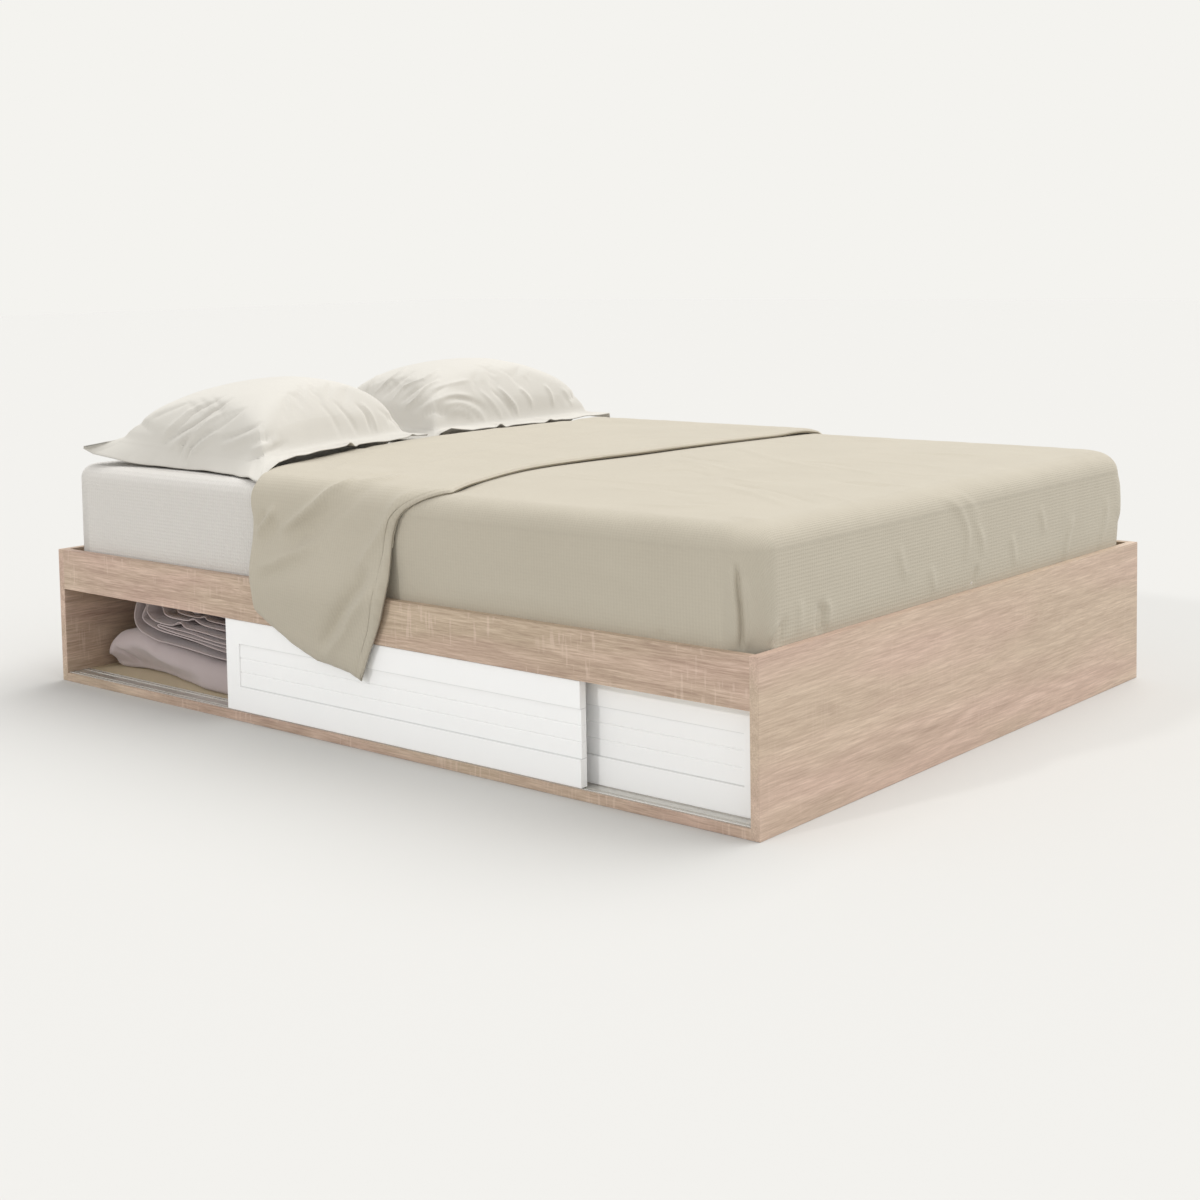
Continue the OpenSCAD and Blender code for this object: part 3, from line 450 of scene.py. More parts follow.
clothLooks = {
    "duvet_linen": {"color": (0.520, 0.474, 0.384), "shade": (0.448, 0.405, 0.324), "thread": 0.0016,
                    "rib": 0.0065, "ribDepth": 0.6, "slub": 0.6, "bump": 0.45, "Sheen Weight": 0.12},
    "pillow_cotton": {"color": (0.610, 0.585, 0.535), "shade": (0.572, 0.549, 0.500), "thread": 0.0009,
                      "rib": 0.004, "ribDepth": 0.2, "slub": 0.25, "bump": 0.18, "Sheen Weight": 0.3,
                      "Sheen Tint": (1.0, 0.97, 0.90, 1.0)},
    "sheet_cotton": {"color": (0.710, 0.682, 0.640), "shade": (0.655, 0.628, 0.588), "thread": 0.001,
                     "rib": 0.0075, "ribDepth": 1.1, "slub": 0.2, "bump": 0.7, "Sheen Weight": 0.08},
    "mattress_cover": {"color": (0.80, 0.79, 0.76), "shade": (0.70, 0.69, 0.66), "thread": 0.002,
                       "rib": 0.045, "ribDepth": 0.8, "slub": 0.2, "bump": 0.8, "bumpDepth": 0.003},
    "blanket_wool": {"color": (0.560, 0.478, 0.470), "shade": (0.450, 0.378, 0.368), "thread": 0.0014,
                     "rib": 0.005, "ribDepth": 0.0, "slub": 0.9, "bump": 0.6, "bumpDepth": 0.0010,
                     "Sheen Weight": 0.35},
    "webbing": {"color": (0.76, 0.73, 0.66), "shade": (0.66, 0.63, 0.57), "thread": 0.0018, "rib": 0.004,
                "ribDepth": 0.8, "slub": 0.2, "bump": 0.5}}
cloths = {name: clothMaterial(name, **look) for name, look in clothLooks.items()}
coatNode("slat_tapes", cloths["webbing"])


# Number work for the bedding: grids of points in metres

noiseTable = np.random.default_rng(7).random((32, 32, 32))


def softNoise(points, size, seed=0):
    at = points / size + seed * 7.31
    low = np.floor(at).astype(int)
    part = at - low
    part = part * part * (3 - 2 * part)
    total = np.zeros(points.shape[:-1])
    for corner in np.ndindex(2, 2, 2):
        weight = np.prod(np.abs(1 - np.array(corner) - part), axis=-1)
        total += weight * noiseTable[tuple(np.moveaxis((low + corner) % 32, -1, 0))]
    return total * 2 - 1


# Smooth curve through rows of values, read at fractional row numbers
def smoothLine(values, places):
    values = np.asarray(values, float)
    places = np.asarray(places, float)
    last = len(values) - 1
    k = np.clip(np.floor(places).astype(int), 0, last - 1)
    t = places - k
    if values.ndim > 1:
        t = t[:, None]
    a, b, c, d = values[np.maximum(k - 1, 0)], values[k], values[k + 1], values[np.minimum(k + 2, last)]
    return 0.5 * (2 * b + (c - a) * t + (2 * a - 5 * b + 4 * c - d) * t ** 2
                  + (3 * b - a - 3 * c + d) * t ** 3)


# The same for points that lie at uneven distances
def smoothPath(points, places):
    points = np.asarray(points, float)
    steps = np.linalg.norm(np.diff(points, axis=0), axis=1)[:, None]
    ways = np.diff(points, axis=0) / steps
    turns = (ways[:-1] * steps[1:] + ways[1:] * steps[:-1]) / (steps[:-1] + steps[1:])
    turns = np.concatenate([ways[:1], turns, ways[-1:]])
    k = np.clip(np.floor(places).astype(int), 0, len(points) - 2)
    t = (places - k)[:, None]
    start = (2 * t ** 3 - 3 * t ** 2 + 1) * points[k] + (t ** 3 - 2 * t ** 2 + t) * steps[k] * turns[k]
    return start + (3 * t ** 2 - 2 * t ** 3) * points[k + 1] + (t ** 3 - t ** 2) * steps[k] * turns[k + 1]


# Where the photograph's pixels fall on a surface
def pixelsOn(tree, pixels):
    size, sensor = view["picture"], view["sensor"]
    turn = cameraTurn(3)
    found = []
    for x, y in pixels:
        right, up = (x - size / 2) / size * sensor, (size / 2 - y) / size * sensor
        way = turn @ Vector((right, up + view["shiftY"] * sensor, -view["lens"]))
        hit = tree.ray_cast(Vector(view["place"]), way.normalized())[0]
        if hit is not None:
            found.append(tuple(hit))
    return found


# How far along a row of points each one lies
def lengthAlong(points):
    return np.concatenate([[0], np.cumsum(np.linalg.norm(np.diff(points, axis=0), axis=1))])


# As many points as are wanted, at even distances along a row of points
def spacedEvenly(points, count):
    far = lengthAlong(points)
    even = np.linspace(0, far[-1], count)
    return np.column_stack([np.interp(even, far, values) for values in points.T])


# Height of soft ridges and hollows along lines in space: a fold is (line, width, height), both in mm
def foldLift(points, folds, power=2.0):
    flat = points.reshape(-1, 3)
    lift = np.zeros(len(flat))
    for line, width, height in folds:
        width, height = width / 1000, height / 1000
        line = smoothLine(line, np.linspace(0, len(line) - 1, 3 * (len(line) - 1) + 1))
        reach = 2.6 * width
        close = np.all((flat > line.min(0) - reach) & (flat < line.max(0) + reach), axis=1)
        if not close.any():
            continue
        some = flat[close]
        start = lengthAlong(line)
        near = np.full(len(some), np.inf)
        along = np.zeros(len(some))
        for k, step in enumerate(np.diff(start)):
            way = (line[k + 1] - line[k]) / step
            run = np.clip((some - line[k]) @ way, 0, step)
            away = np.linalg.norm(some - line[k] - run[:, None] * way, axis=1)
            along = np.where(away < near, start[k] + run, along)
            near = np.minimum(away, near)
        ends = np.clip(np.minimum(along, start[-1] - along) / start[-1] * 3.5, 0, 1)
        lift[close] += height * np.exp(-(near / width) ** power) * np.sin(ends * math.pi / 2)
    return lift.reshape(points.shape[:-1])


# The same for folds marked in pixels on a grid's own surface
def markedLift(grid, closed, marked, power=2.0):
    faces = gridFaces(*grid.shape[:2], 0, closed)
    tree = BVHTree.FromPolygons(grid.reshape(-1, 3).tolist(), faces.tolist())
    return foldLift(grid, foldsOn(tree, marked), power)


def foldsOn(tree, marked):
    found = [(pixelsOn(tree, pixels), width, height) for pixels, width, height in marked]
    return [fold for fold in found if len(fold[0]) > 1]


def gridNormals(grid, closed):
    down = np.gradient(grid, axis=0)
    if closed:
        side = (np.roll(grid, -1, axis=1) - np.roll(grid, 1, axis=1)) / 2
    else:
        side = np.gradient(grid, axis=1)
    normal = np.cross(side, down)
    return normal / np.maximum(np.linalg.norm(normal, axis=2, keepdims=True), 1e-9)


def gridFaces(rows, cols, start, closed=False, flip=False):
    r, c = np.meshgrid(np.arange(rows - 1), np.arange(cols if closed else cols - 1), indexing="ij")
    n = (c + 1) % cols
    a, b = start + r * cols, start + (r + 1) * cols
    quads = np.stack([a + c, a + n, b + n, b + c], -1).reshape(-1, 4)
    return quads[:, ::-1] if flip else quads


def bandFaces(a, b, closed):
    a, b = np.asarray(a), np.asarray(b)
    n = len(a) if closed else len(a) - 1
    k = np.arange(n)
    m = (k + 1) % len(a)
    return np.stack([a[k], b[k], b[m], a[m]], -1)


# A cloth's name is its material's and its slot's
def addPiece(name, vertices, faces, clothMap, cloth, node):
    mesh = bpy.data.meshes.new(name)
    mesh.from_pydata(vertices.tolist(), [], [list(map(int, face)) for face in faces])
    mesh.validate()
    form = bmesh.new()
    form.from_mesh(mesh)
    bmesh.ops.recalc_face_normals(form, faces=form.faces)
    form.to_mesh(mesh)
    form.free()
    mesh.polygons.foreach_set("use_smooth", np.ones(len(mesh.polygons), bool))
    mark = mesh.attributes.new("clothMap", "FLOAT_VECTOR", "POINT")
    mark.data.foreach_set("vector", np.asarray(clothMap, np.float32).reshape(-1))
    mesh.materials.append(cloths[cloth])
    piece = addObject(name, mesh)
    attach(piece, "bed")
    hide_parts(node)
    print("made", name, len(vertices), "points")
    return piece


# Two skins of the same grid joined along their borders into one closed cloth
def addCloth(name, outer, inner, clothMap, cloth, node):
    rows, cols = outer.shape[:2]
    size = rows * cols
    number = np.arange(size).reshape(rows, cols)
    faces = [gridFaces(rows, cols, 0), gridFaces(rows, cols, size, flip=True)]
    for top, bottom in ((number[0], number[0] + size), (number[-1] + size, number[-1]),
                        (number[:, 0] + size, number[:, 0]), (number[:, -1], number[:, -1] + size)):
        faces.append(bandFaces(top, bottom, False))
    vertices = np.concatenate([outer.reshape(-1, 3), inner.reshape(-1, 3)])
    marks = np.concatenate([clothMap.reshape(-1, 3)] * 2)
    return addPiece(name, vertices, np.concatenate(faces), marks, cloth, node)


# Stacked rings closed at the top, with an inner skin that is open below, or a closed underside
def addRings(name, outer, inner, clothMap, cloth, node):
    rows, count = outer.shape[:2]

    def fan(ring, tip, flip):
        pairs = zip(ring.tolist(), np.roll(ring, -1).tolist())
        return [[b, a, tip] if flip else [a, b, tip] for a, b in pairs]

    tip = rows * count
    number = np.arange(tip).reshape(rows, count)
    parts = [outer.reshape(-1, 3), outer[-1].mean(0)[None]]
    marks = [clothMap.reshape(-1, 3), clothMap[-1].mean(0)[None]]
    faces = gridFaces(rows, count, 0, True).tolist() + fan(number[-1], tip, False)
    if inner is None:
        parts.append(outer[0].mean(0)[None])
        marks.append(clothMap[0].mean(0)[None])
        faces += fan(number[0], tip + 1, True)
    else:
        low, deep = tip + 1, len(inner)
        under = np.arange(deep * count).reshape(deep, count) + low
        parts += [inner.reshape(-1, 3), inner[-1].mean(0)[None]]
        marks += [np.resize(clothMap, (deep, count, 3)).reshape(-1, 3), clothMap[-1].mean(0)[None]]
        faces += gridFaces(deep, count, low, True, True).tolist() + fan(under[-1], low + deep * count, True)
        faces += bandFaces(number[0], under[0], True)[:, ::-1].tolist()
    return addPiece(name, np.concatenate(parts), faces, np.concatenate(marks), cloth, node)


# One level of a rounded outline: corner middles anticlockwise from the far foot corner
def outlineRing(middles, radius, z, cornerSteps, sideSteps):
    ring, out = [], []
    for k, (mx, my) in enumerate(middles):
        turns = math.radians(90 * k) + np.linspace(0, math.pi / 2, cornerSteps + 1)
        way = np.stack([np.cos(turns), np.sin(turns)], -1)
        ring.append(np.array([mx, my]) + radius * way)
        out.append(way)
        nx, ny = middles[(k + 1) % 4]
        a, b = ring[-1][-1], np.array([nx, ny]) + radius * way[-1]
        share = np.linspace(0, 1, sideSteps[k % 2] + 1)[1:-1, None]
        ring.append(a + (b - a) * share)
        side = np.array([(b - a)[1], -(b - a)[0]]) / np.linalg.norm(b - a)
        out.append(np.repeat(side[None], len(share), 0))
    ring, out = np.concatenate(ring), np.concatenate(out)
    return np.column_stack([ring, np.full(len(ring), z)]), out


def plateMiddles(halfX, halfY, radius):
    return [(halfX - radius, halfY - radius), (radius - halfX, halfY - radius),
            (radius - halfX, radius - halfY), (halfX - radius, radius - halfY)]


# Side, rounded edge and top of a slab whose upright corners are round
def slabRings(halfX, halfY, low, high, corner, edge, sideRows, edgeRows, capRows, bottomEdge=False):
    rings, marks = [], []

    def addRing(inset, z, drop):
        radius = max(corner - inset, 0.004)
        ring, out = outlineRing(plateMiddles(halfX - inset, halfY - inset, radius), radius, z, 12, (120, 90))
        rings.append(ring)
        marks.append(np.column_stack([ring[:, :2] + out * (drop + inset), np.zeros(len(ring))]))

    if bottomEdge:
        for turn in np.linspace(0, math.pi / 2, edgeRows)[:-1]:
            addRing(edge * (1 - math.sin(turn)), low + edge * (1 - math.cos(turn)), high - low)
        low = low + edge
    for z in np.linspace(low, high - edge, sideRows):
        addRing(0.0, z, high - z)
    for turn in np.linspace(0, math.pi / 2, edgeRows)[1:]:
        addRing(edge * (1 - math.cos(turn)), high - edge + edge * math.sin(turn), edge * (1 - turn / 1.571))
    rim = rings[-1]
    for share in np.linspace(1, 0.02, capRows)[1:]:
        ring = rim * [share, share, 1]
        rings.append(ring)
        marks.append(ring * [1, 1, 0])
    return np.array(rings), np.array(marks)


# Mattress and fitted sheet

mattressShape = {"halfX": 0.950, "halfY": 0.700, "low": 0.252, "high": 0.495, "corner": 0.070, "edge": 0.030,
                 "sideInset": 0.0015, "topInset": 0.0012, "piping": 0.0022, "tuft": 0.0008}
sheetShape = {"skin": 0.0012, "gap": 0.0001, "lift": 0.020, "slack": 0.0012}


def makeMattress():
    s = mattressShape
    rings, marks = slabRings(s["halfX"] - s["sideInset"], s["halfY"] - s["sideInset"], s["low"],
                             s["high"] - s["topInset"], s["corner"], s["edge"], 14, 7, 30, True)
    # a piped seam runs round both edges, and the cover is tufted a little
    level = rings[..., 2]
    for seam in (s["low"] + s["edge"], s["high"] - s["edge"]):
        out = rings * [1, 1, 0] / np.linalg.norm(rings * [1, 1, 0], axis=2, keepdims=True)
        rings = rings + out * (s["piping"] * np.exp(-((level - seam) / 0.004) ** 2) - s["tuft"])[..., None]
    piece = addRings("mattress_pad", rings, None, marks, "mattress_cover", "mattress")


def makeSheet():
    s, c = mattressShape, sheetShape
    low = s["low"] + c["lift"]
    outer, marks = slabRings(s["halfX"] + c["skin"], s["halfY"] + c["skin"], low, s["high"] + c["skin"],
                             s["corner"], s["edge"] + c["skin"], 40, 10, 46)
    inner = slabRings(s["halfX"] + c["gap"], s["halfY"] + c["gap"], low, s["high"] + c["gap"],
                      s["corner"], s["edge"], 40, 10, 46)[0]
    # it pulls a little at the corners and between them
    pull = c["slack"] * (softNoise(outer * [1, 1, 2.5], 0.11, 3) + 0.5 * softNoise(outer, 0.04, 5))
    move = gridNormals(outer, True) * (np.maximum(pull, -0.0004) * 0.5)[..., None]
    piece = addRings("fitted_sheet_cloth", outer + move, inner + move, marks, "sheet_cotton", "fitted_sheet")


makeMattress()
makeSheet()


# Duvet over the foot part of the bed, tucked into the frame on three sides

duvetShape = {"rim": 0.5072, "crown": 0.006, "edge": 0.046, "tuck": 0.262, "bulge": 0.003, "corner": 0.064,
              "halfX": 0.9537, "halfY": 0.7037, "nearFold": -0.310, "farFold": -0.500, "cover": 0.022,
              "ripple": 0.0016, "inset": 0.0021, "insideEdge": 0.0316, "insideEdgeZ": 0.4653, "capRings": 84}


# Folds of the duvet in mm, on its top, its foot side and its door side


def onTop(points):
    return [(x / 1000, y / 1000, 0.511) for x, y in points]


def onFoot(points):
    return [(0.957, y / 1000, z / 1000) for y, z in points]


def onNearSide(points):
    return [(x / 1000, -0.707, z / 1000) for x, z in points]


duvetFolds = [
    (onTop([(217, -370), (349, -376), (455, -373), (562, -367)]), 12, 2.2),
    (onTop([(426, -454), (549, -456), (616, -452)]), 10, 1.8),
    (onTop([(605, -591), (701, -583), (759, -527)]), 12, 2.4),
    (onTop([(259, -27), (361, -65), (524, -130)]), 14, 2.8),
    (onTop([(210, 40), (300, 10), (420, -25)]), 10, -2),
    (onTop([(189, 277), (497, 57), (680, -10)]), 14, 2.6),
    (onTop([(522, 72), (650, 30), (772, -9)]), 12, 2.2),
    (onTop([(755, -128), (830, -118), (907, -110)]), 12, 2.4),
    (onTop([(302, 497), (370, 560), (438, 617)]), 14, 2.2),
    (onTop([(560, -306), (740, -391), (882, -482)]), 13, 2.6),
    (onTop([(600, -270), (760, -345), (900, -420)]), 9, -1.8),
    (onTop([(795, -307), (870, -330), (932, -360)]), 11, 2.2),
    (onTop([(599, 183), (700, 186), (797, 182)]), 12, 2),
    (onTop([(583, 373), (680, 390), (768, 418)]), 12, 2.2),
    (onTop([(860, 300), (900, 100), (905, -60)]), 20, 2.2),
    (onFoot([(-87, 510), (-11, 469), (28, 426), (56, 356)]), 12, 4.2),
    (onFoot([(-60, 500), (10, 450), (52, 400)]), 8, -2.6),
    (onFoot([(-109, 502), (-44, 462), (-11, 409), (-22, 356)]), 10, 3.4),
    (onFoot([(-150, 520), (-118, 505), (-87, 480)]), 9, 2.6),
    (onFoot([(5, 300), (17, 322), (28, 345)]), 7, -5),
    (onFoot([(-511, 298), (-520, 327), (-498, 352)]), 9, -4),
    (onFoot([(-643, 298), (-635, 326), (-618, 350)]), 9, -3.6),
    (onFoot([(-263, 425), (-253, 393), (-233, 355)]), 10, 2.6),
    (onFoot([(162, 390), (174, 355), (186, 320)]), 10, 3),
    (onFoot([(401, 300), (414, 355), (440, 394)]), 10, 3.6),
    (onFoot([(284, 430), (297, 405), (310, 370)]), 10, 2.6),
    (onFoot([(-151, 370), (-140, 340), (-130, 315)]), 9, 2.6),
    (onFoot([(-580, 375), (-578, 345), (-580, 315)]), 9, 2.8),
    (onFoot([(560, 300), (590, 360), (600, 420)]), 12, 3.4),
    (onNearSide([(300, 330), (420, 345), (560, 325)]), 20, 1.6),
    (onNearSide([(520, 430), (680, 400), (800, 350)]), 22, 1.8),
]
# Marked in the photograph's pixels: the pleat at the near foot corner, then small creases
cornerPleat = [
    ([(734.5, 562), (737, 575), (738, 591), (740, 606), (741.5, 631), (741.5, 660)], 3.4, -15),
    ([(730, 566), (732, 590), (735, 615), (737, 650)], 10, 5),
    ([(745, 578), (747, 600), (748, 630), (748, 652)], 8, 4.5),
    ([(776, 648), (779, 637), (781, 624)], 8, -5),
    ([(771, 642), (773, 632), (779, 622)], 7, 3.5),
    ([(819, 636), (821, 620), (818, 600)], 10, -4.5),
    ([(826, 628), (829, 612), (824, 600)], 8, 4),
    ([(662, 643), (660, 630)], 8, -4),
    ([(731, 518), (745, 519), (760, 522)], 15, 4),
    ([(645, 472), (686, 470), (711, 476)], 9, -2.4),
    ([(660, 489), (701, 495), (730, 493)], 9, -2.2),
    ([(726, 481), (752, 487), (782, 487)], 9, -2.6),
    ([(680, 501), (711, 505), (737, 505)], 9, -2.2),
    ([(795, 461), (830, 463), (859, 468)], 9, -2.4),
    ([(640, 468), (686, 465), (715, 471)], 9, 2),
    ([(722, 476), (752, 482), (784, 482)], 9, 2.2),
    ([(560, 474), (600, 479), (640, 481)], 9, -2),
    ([(830, 480), (870, 486), (905, 484)], 9, -2.2),
    ([(880, 470), (920, 476), (960, 474)], 9, -2)]
farPouch = [([(0.940, 0.690, 0.455), (0.951, 0.676, 0.41), (0.950, 0.672, 0.35)], 22, 6)]


def duvetRing(inset, z):
    s = duvetShape
    radius = max(0.012, s["corner"] - inset / 2)
    highX, halfY = s["halfX"] - inset, s["halfY"] - inset
    under = s["cover"] + inset + radius
    middles = [(highX - radius, halfY - radius), (s["farFold"] + under, halfY - radius),
               (s["nearFold"] + under, radius - halfY), (highX - radius, radius - halfY)]
    return outlineRing(middles, radius, z, 34, (190, 200))


# The rings of its top, from the rim towards its middle
def duvetCap(rim, crown):
    middle = np.array([(duvetShape["nearFold"] + duvetShape["halfX"]) / 2, 0, 0])
    for share in np.linspace(1, 0.01, duvetShape["capRings"])[1:]:
        yield middle + (rim - middle) * [share, share, 1] + [0, 0, crown * (1 - share ** 2)]


def makeDuvet():
    s = duvetShape
    edgeZ = s["rim"] - s["edge"]
    sides, turns = np.linspace(0, 1, 34), np.linspace(0, math.pi / 2, 15)[1:]
    outer, marks = [], []

    def addRing(inset, z, drop):
        ring, out = duvetRing(inset, z)
        outer.append(ring)
        marks.append(np.column_stack([ring[:, :2] + out * drop, np.zeros(len(ring))]))

    for z in s["tuck"] + (edgeZ - s["tuck"]) * sides:
        swell = np.interp(z, [0.300, 0.342, 0.400, edgeZ], [0.0, 0.8, 1.0, 0.8]) * s["bulge"]
        addRing(-swell, z, s["rim"] - z)
    for turn in turns:
        addRing(s["edge"] * (1 - math.cos(turn)) - s["bulge"] * 0.8 * math.cos(turn),
                edgeZ + s["edge"] * math.sin(turn), s["edge"] * (1.57 - turn))
    cap = list(duvetCap(outer[-1], s["crown"]))
    outer, marks = np.array(outer + cap), np.array(marks + [ring * [1, 1, 0] for ring in cap])

    normal = gridNormals(outer, True)
    flatness = np.clip(normal[..., 2], 0, 1)
    # the cloth moves only where it is clear of the turned back part and of the frame
    free = np.clip((outer[..., 0] - 0.17) / 0.05, 0, 1) * np.clip((outer[..., 2] - 0.296) / 0.02, 0, 1)
    ripple = softNoise(outer * [1, 2.2, 1], 0.085, 11) * 0.6 + softNoise(outer, 0.033, 12) * 0.25
    ripple += softNoise(outer, 0.25, 13) * 0.9
    lift = foldLift(outer, duvetFolds) + ripple * s["ripple"] * (0.5 + 0.5 * flatness)
    lift += foldLift(outer, farPouch) + markedLift(outer, True, cornerPleat, 1.5)
    outer += normal * (lift * free)[..., None]

    inner = [duvetRing(s["inset"], z)[0] for z in s["tuck"] + (s["insideEdgeZ"] - s["tuck"]) * sides]
    for turn in turns:
        inner.append(duvetRing(s["inset"] + s["insideEdge"] * (1 - math.cos(turn)),
                               s["insideEdgeZ"] + s["insideEdge"] * math.sin(turn))[0])
    inner += duvetCap(inner[-1], 0.0)
    piece = addRings("duvet_cover", outer, np.array(inner), marks, "duvet_linen", "duvet")


makeDuvet()


# The turned back part, from the fold by the pillows to its stitched hem, hanging over the door side

# Its low edge is (x, z); its reach is x from the head end, at each point of its way across; all in mm
turnback = {"thick": 0.011, "hemThick": 0.0070, "clear": 0.0005, "foldGain": 1.55, "farLow": 0.262,
            "rows": 112, "columns": 330, "headX": 0.954,
            "frameTop": 0.302, "frameY": 0.722, "lie": 0.0003, "hemRound": 0.020, "fold": 0.020,
            "foldEnd": 0.006, "thinEnd": 0.018, "stitchIn": 0.0125, "stitchWidth": 0.0018,
            "stitchDepth": 0.0008, "ripple": 0.0016, "wave": 0.003, "lean": 0.020,
            "lowEdge": [(-257, 243), (-250, 238), (-217, 217), (-162, 188), (-85, 161), (-58, 160),
                        (11, 151), (46, 137)],
            "foldReach": [698, 697, 696, 694, 686, 674, 665, 664, 664, 659, 648, 582, 536, 502, 480,
                          470, 463, 458] + [454] * 11,
            "hemReach": [998, 1020, 1044, 1059, 1068, 1078, 1092, 1114, 1144, 1174, 1189, 1124, 1084,
                         1086, 1104, 1109, 1114, 1119, 1122, 1124, 1126, 1128, 1130, 1132, 1134, 1134,
                         1132, 1128, 1124]}


# Marked in the photograph's pixels, as the pillows' and the blanket's creases are too
drapeFolds = [
    ([(362, 477), (347, 484), (331, 492), (318, 503), (303, 515), (292, 524), (280, 534)], 10.5, 8.5),
    ([(376, 484), (357, 494), (341, 507), (318, 524), (300, 539), (288, 548)], 20, -6),
    ([(277, 506), (272, 515), (265, 524), (259, 536), (253, 549), (251, 558)], 9, 7),
    ([(267, 512), (258, 526), (254, 537)], 10, -3.5),
    ([(280, 522), (272, 534), (264, 546)], 12, -3.5),
    ([(324, 541), (305, 549), (289, 557), (276, 565), (260, 569), (251, 573)], 13, 5.5),
    ([(316, 560), (300, 566), (284, 573), (269, 578), (258, 583)], 18, -4),
    ([(418, 489), (399, 502), (388, 521), (378, 541), (368, 558), (360, 576)], 15, 6),
    ([(373, 566), (362, 587), (350, 602), (339, 618), (328, 636), (318, 648)], 18, -10),
    ([(379, 583), (370, 598), (358, 613), (347, 633), (333, 648), (325, 659)], 12, 6),
    ([(354, 482), (371, 480.5), (391, 478.5), (410, 475)], 12, 3.6),
    ([(366, 477), (383, 474), (403, 471)], 11, -3.4),
    ([(420, 466), (455, 458), (500, 449), (540, 441)], 12, 2.2),
    ([(400, 462), (440, 455), (480, 447)], 12, -1.8),
    ([(330, 470), (352, 464), (380, 459)], 12, 2.2),
    ([(470, 441), (510, 434), (560, 425)], 14, 2.4),
    ([(520, 449), (560, 440), (600, 430)], 14, -2),
    ([(600, 424), (640, 418), (690, 411)], 14, 2.4),
]


def turnbackPath(off, nearLow, farLow):
    s = duvetShape
    edgeZ, edgeY = s["rim"] - s["edge"], s["halfY"] - s["edge"] + s["bulge"] * 0.8
    top, lie = turnback["frameTop"], turnback["lie"] + off

    def side(low):
        outY, topY = turnback["frameY"] + turnback["clear"] + off, s["halfY"] + s["bulge"] + lie
        return [(outY + 0.001, low), (outY + 0.002, (low * 2 + top) / 3),
                (outY + 0.001, (low + top * 2) / 3), (outY, top),
                ((outY + topY * 2) / 3 + 0.003, top + 0.045), (topY + 0.001, edgeZ - 0.036), (topY, edgeZ)]

    turns = np.radians([22.5, 45, 67.5, 90])
    edge = [(edgeY + (s["edge"] + lie) * math.cos(turn), edgeZ + (s["edge"] + lie) * math.sin(turn))
            for turn in turns]
    crown = s["crown"] * 1.25 + turnback["lie"]
    near = [(-y, z) for y, z in side(nearLow) + edge]
    cap = [(edgeY * k / 4, s["rim"] + lie + crown * (1 - (k / 4) ** 2)) for k in range(-3, 4)]
    return np.array(near + cap + (side(farLow) + edge)[::-1])


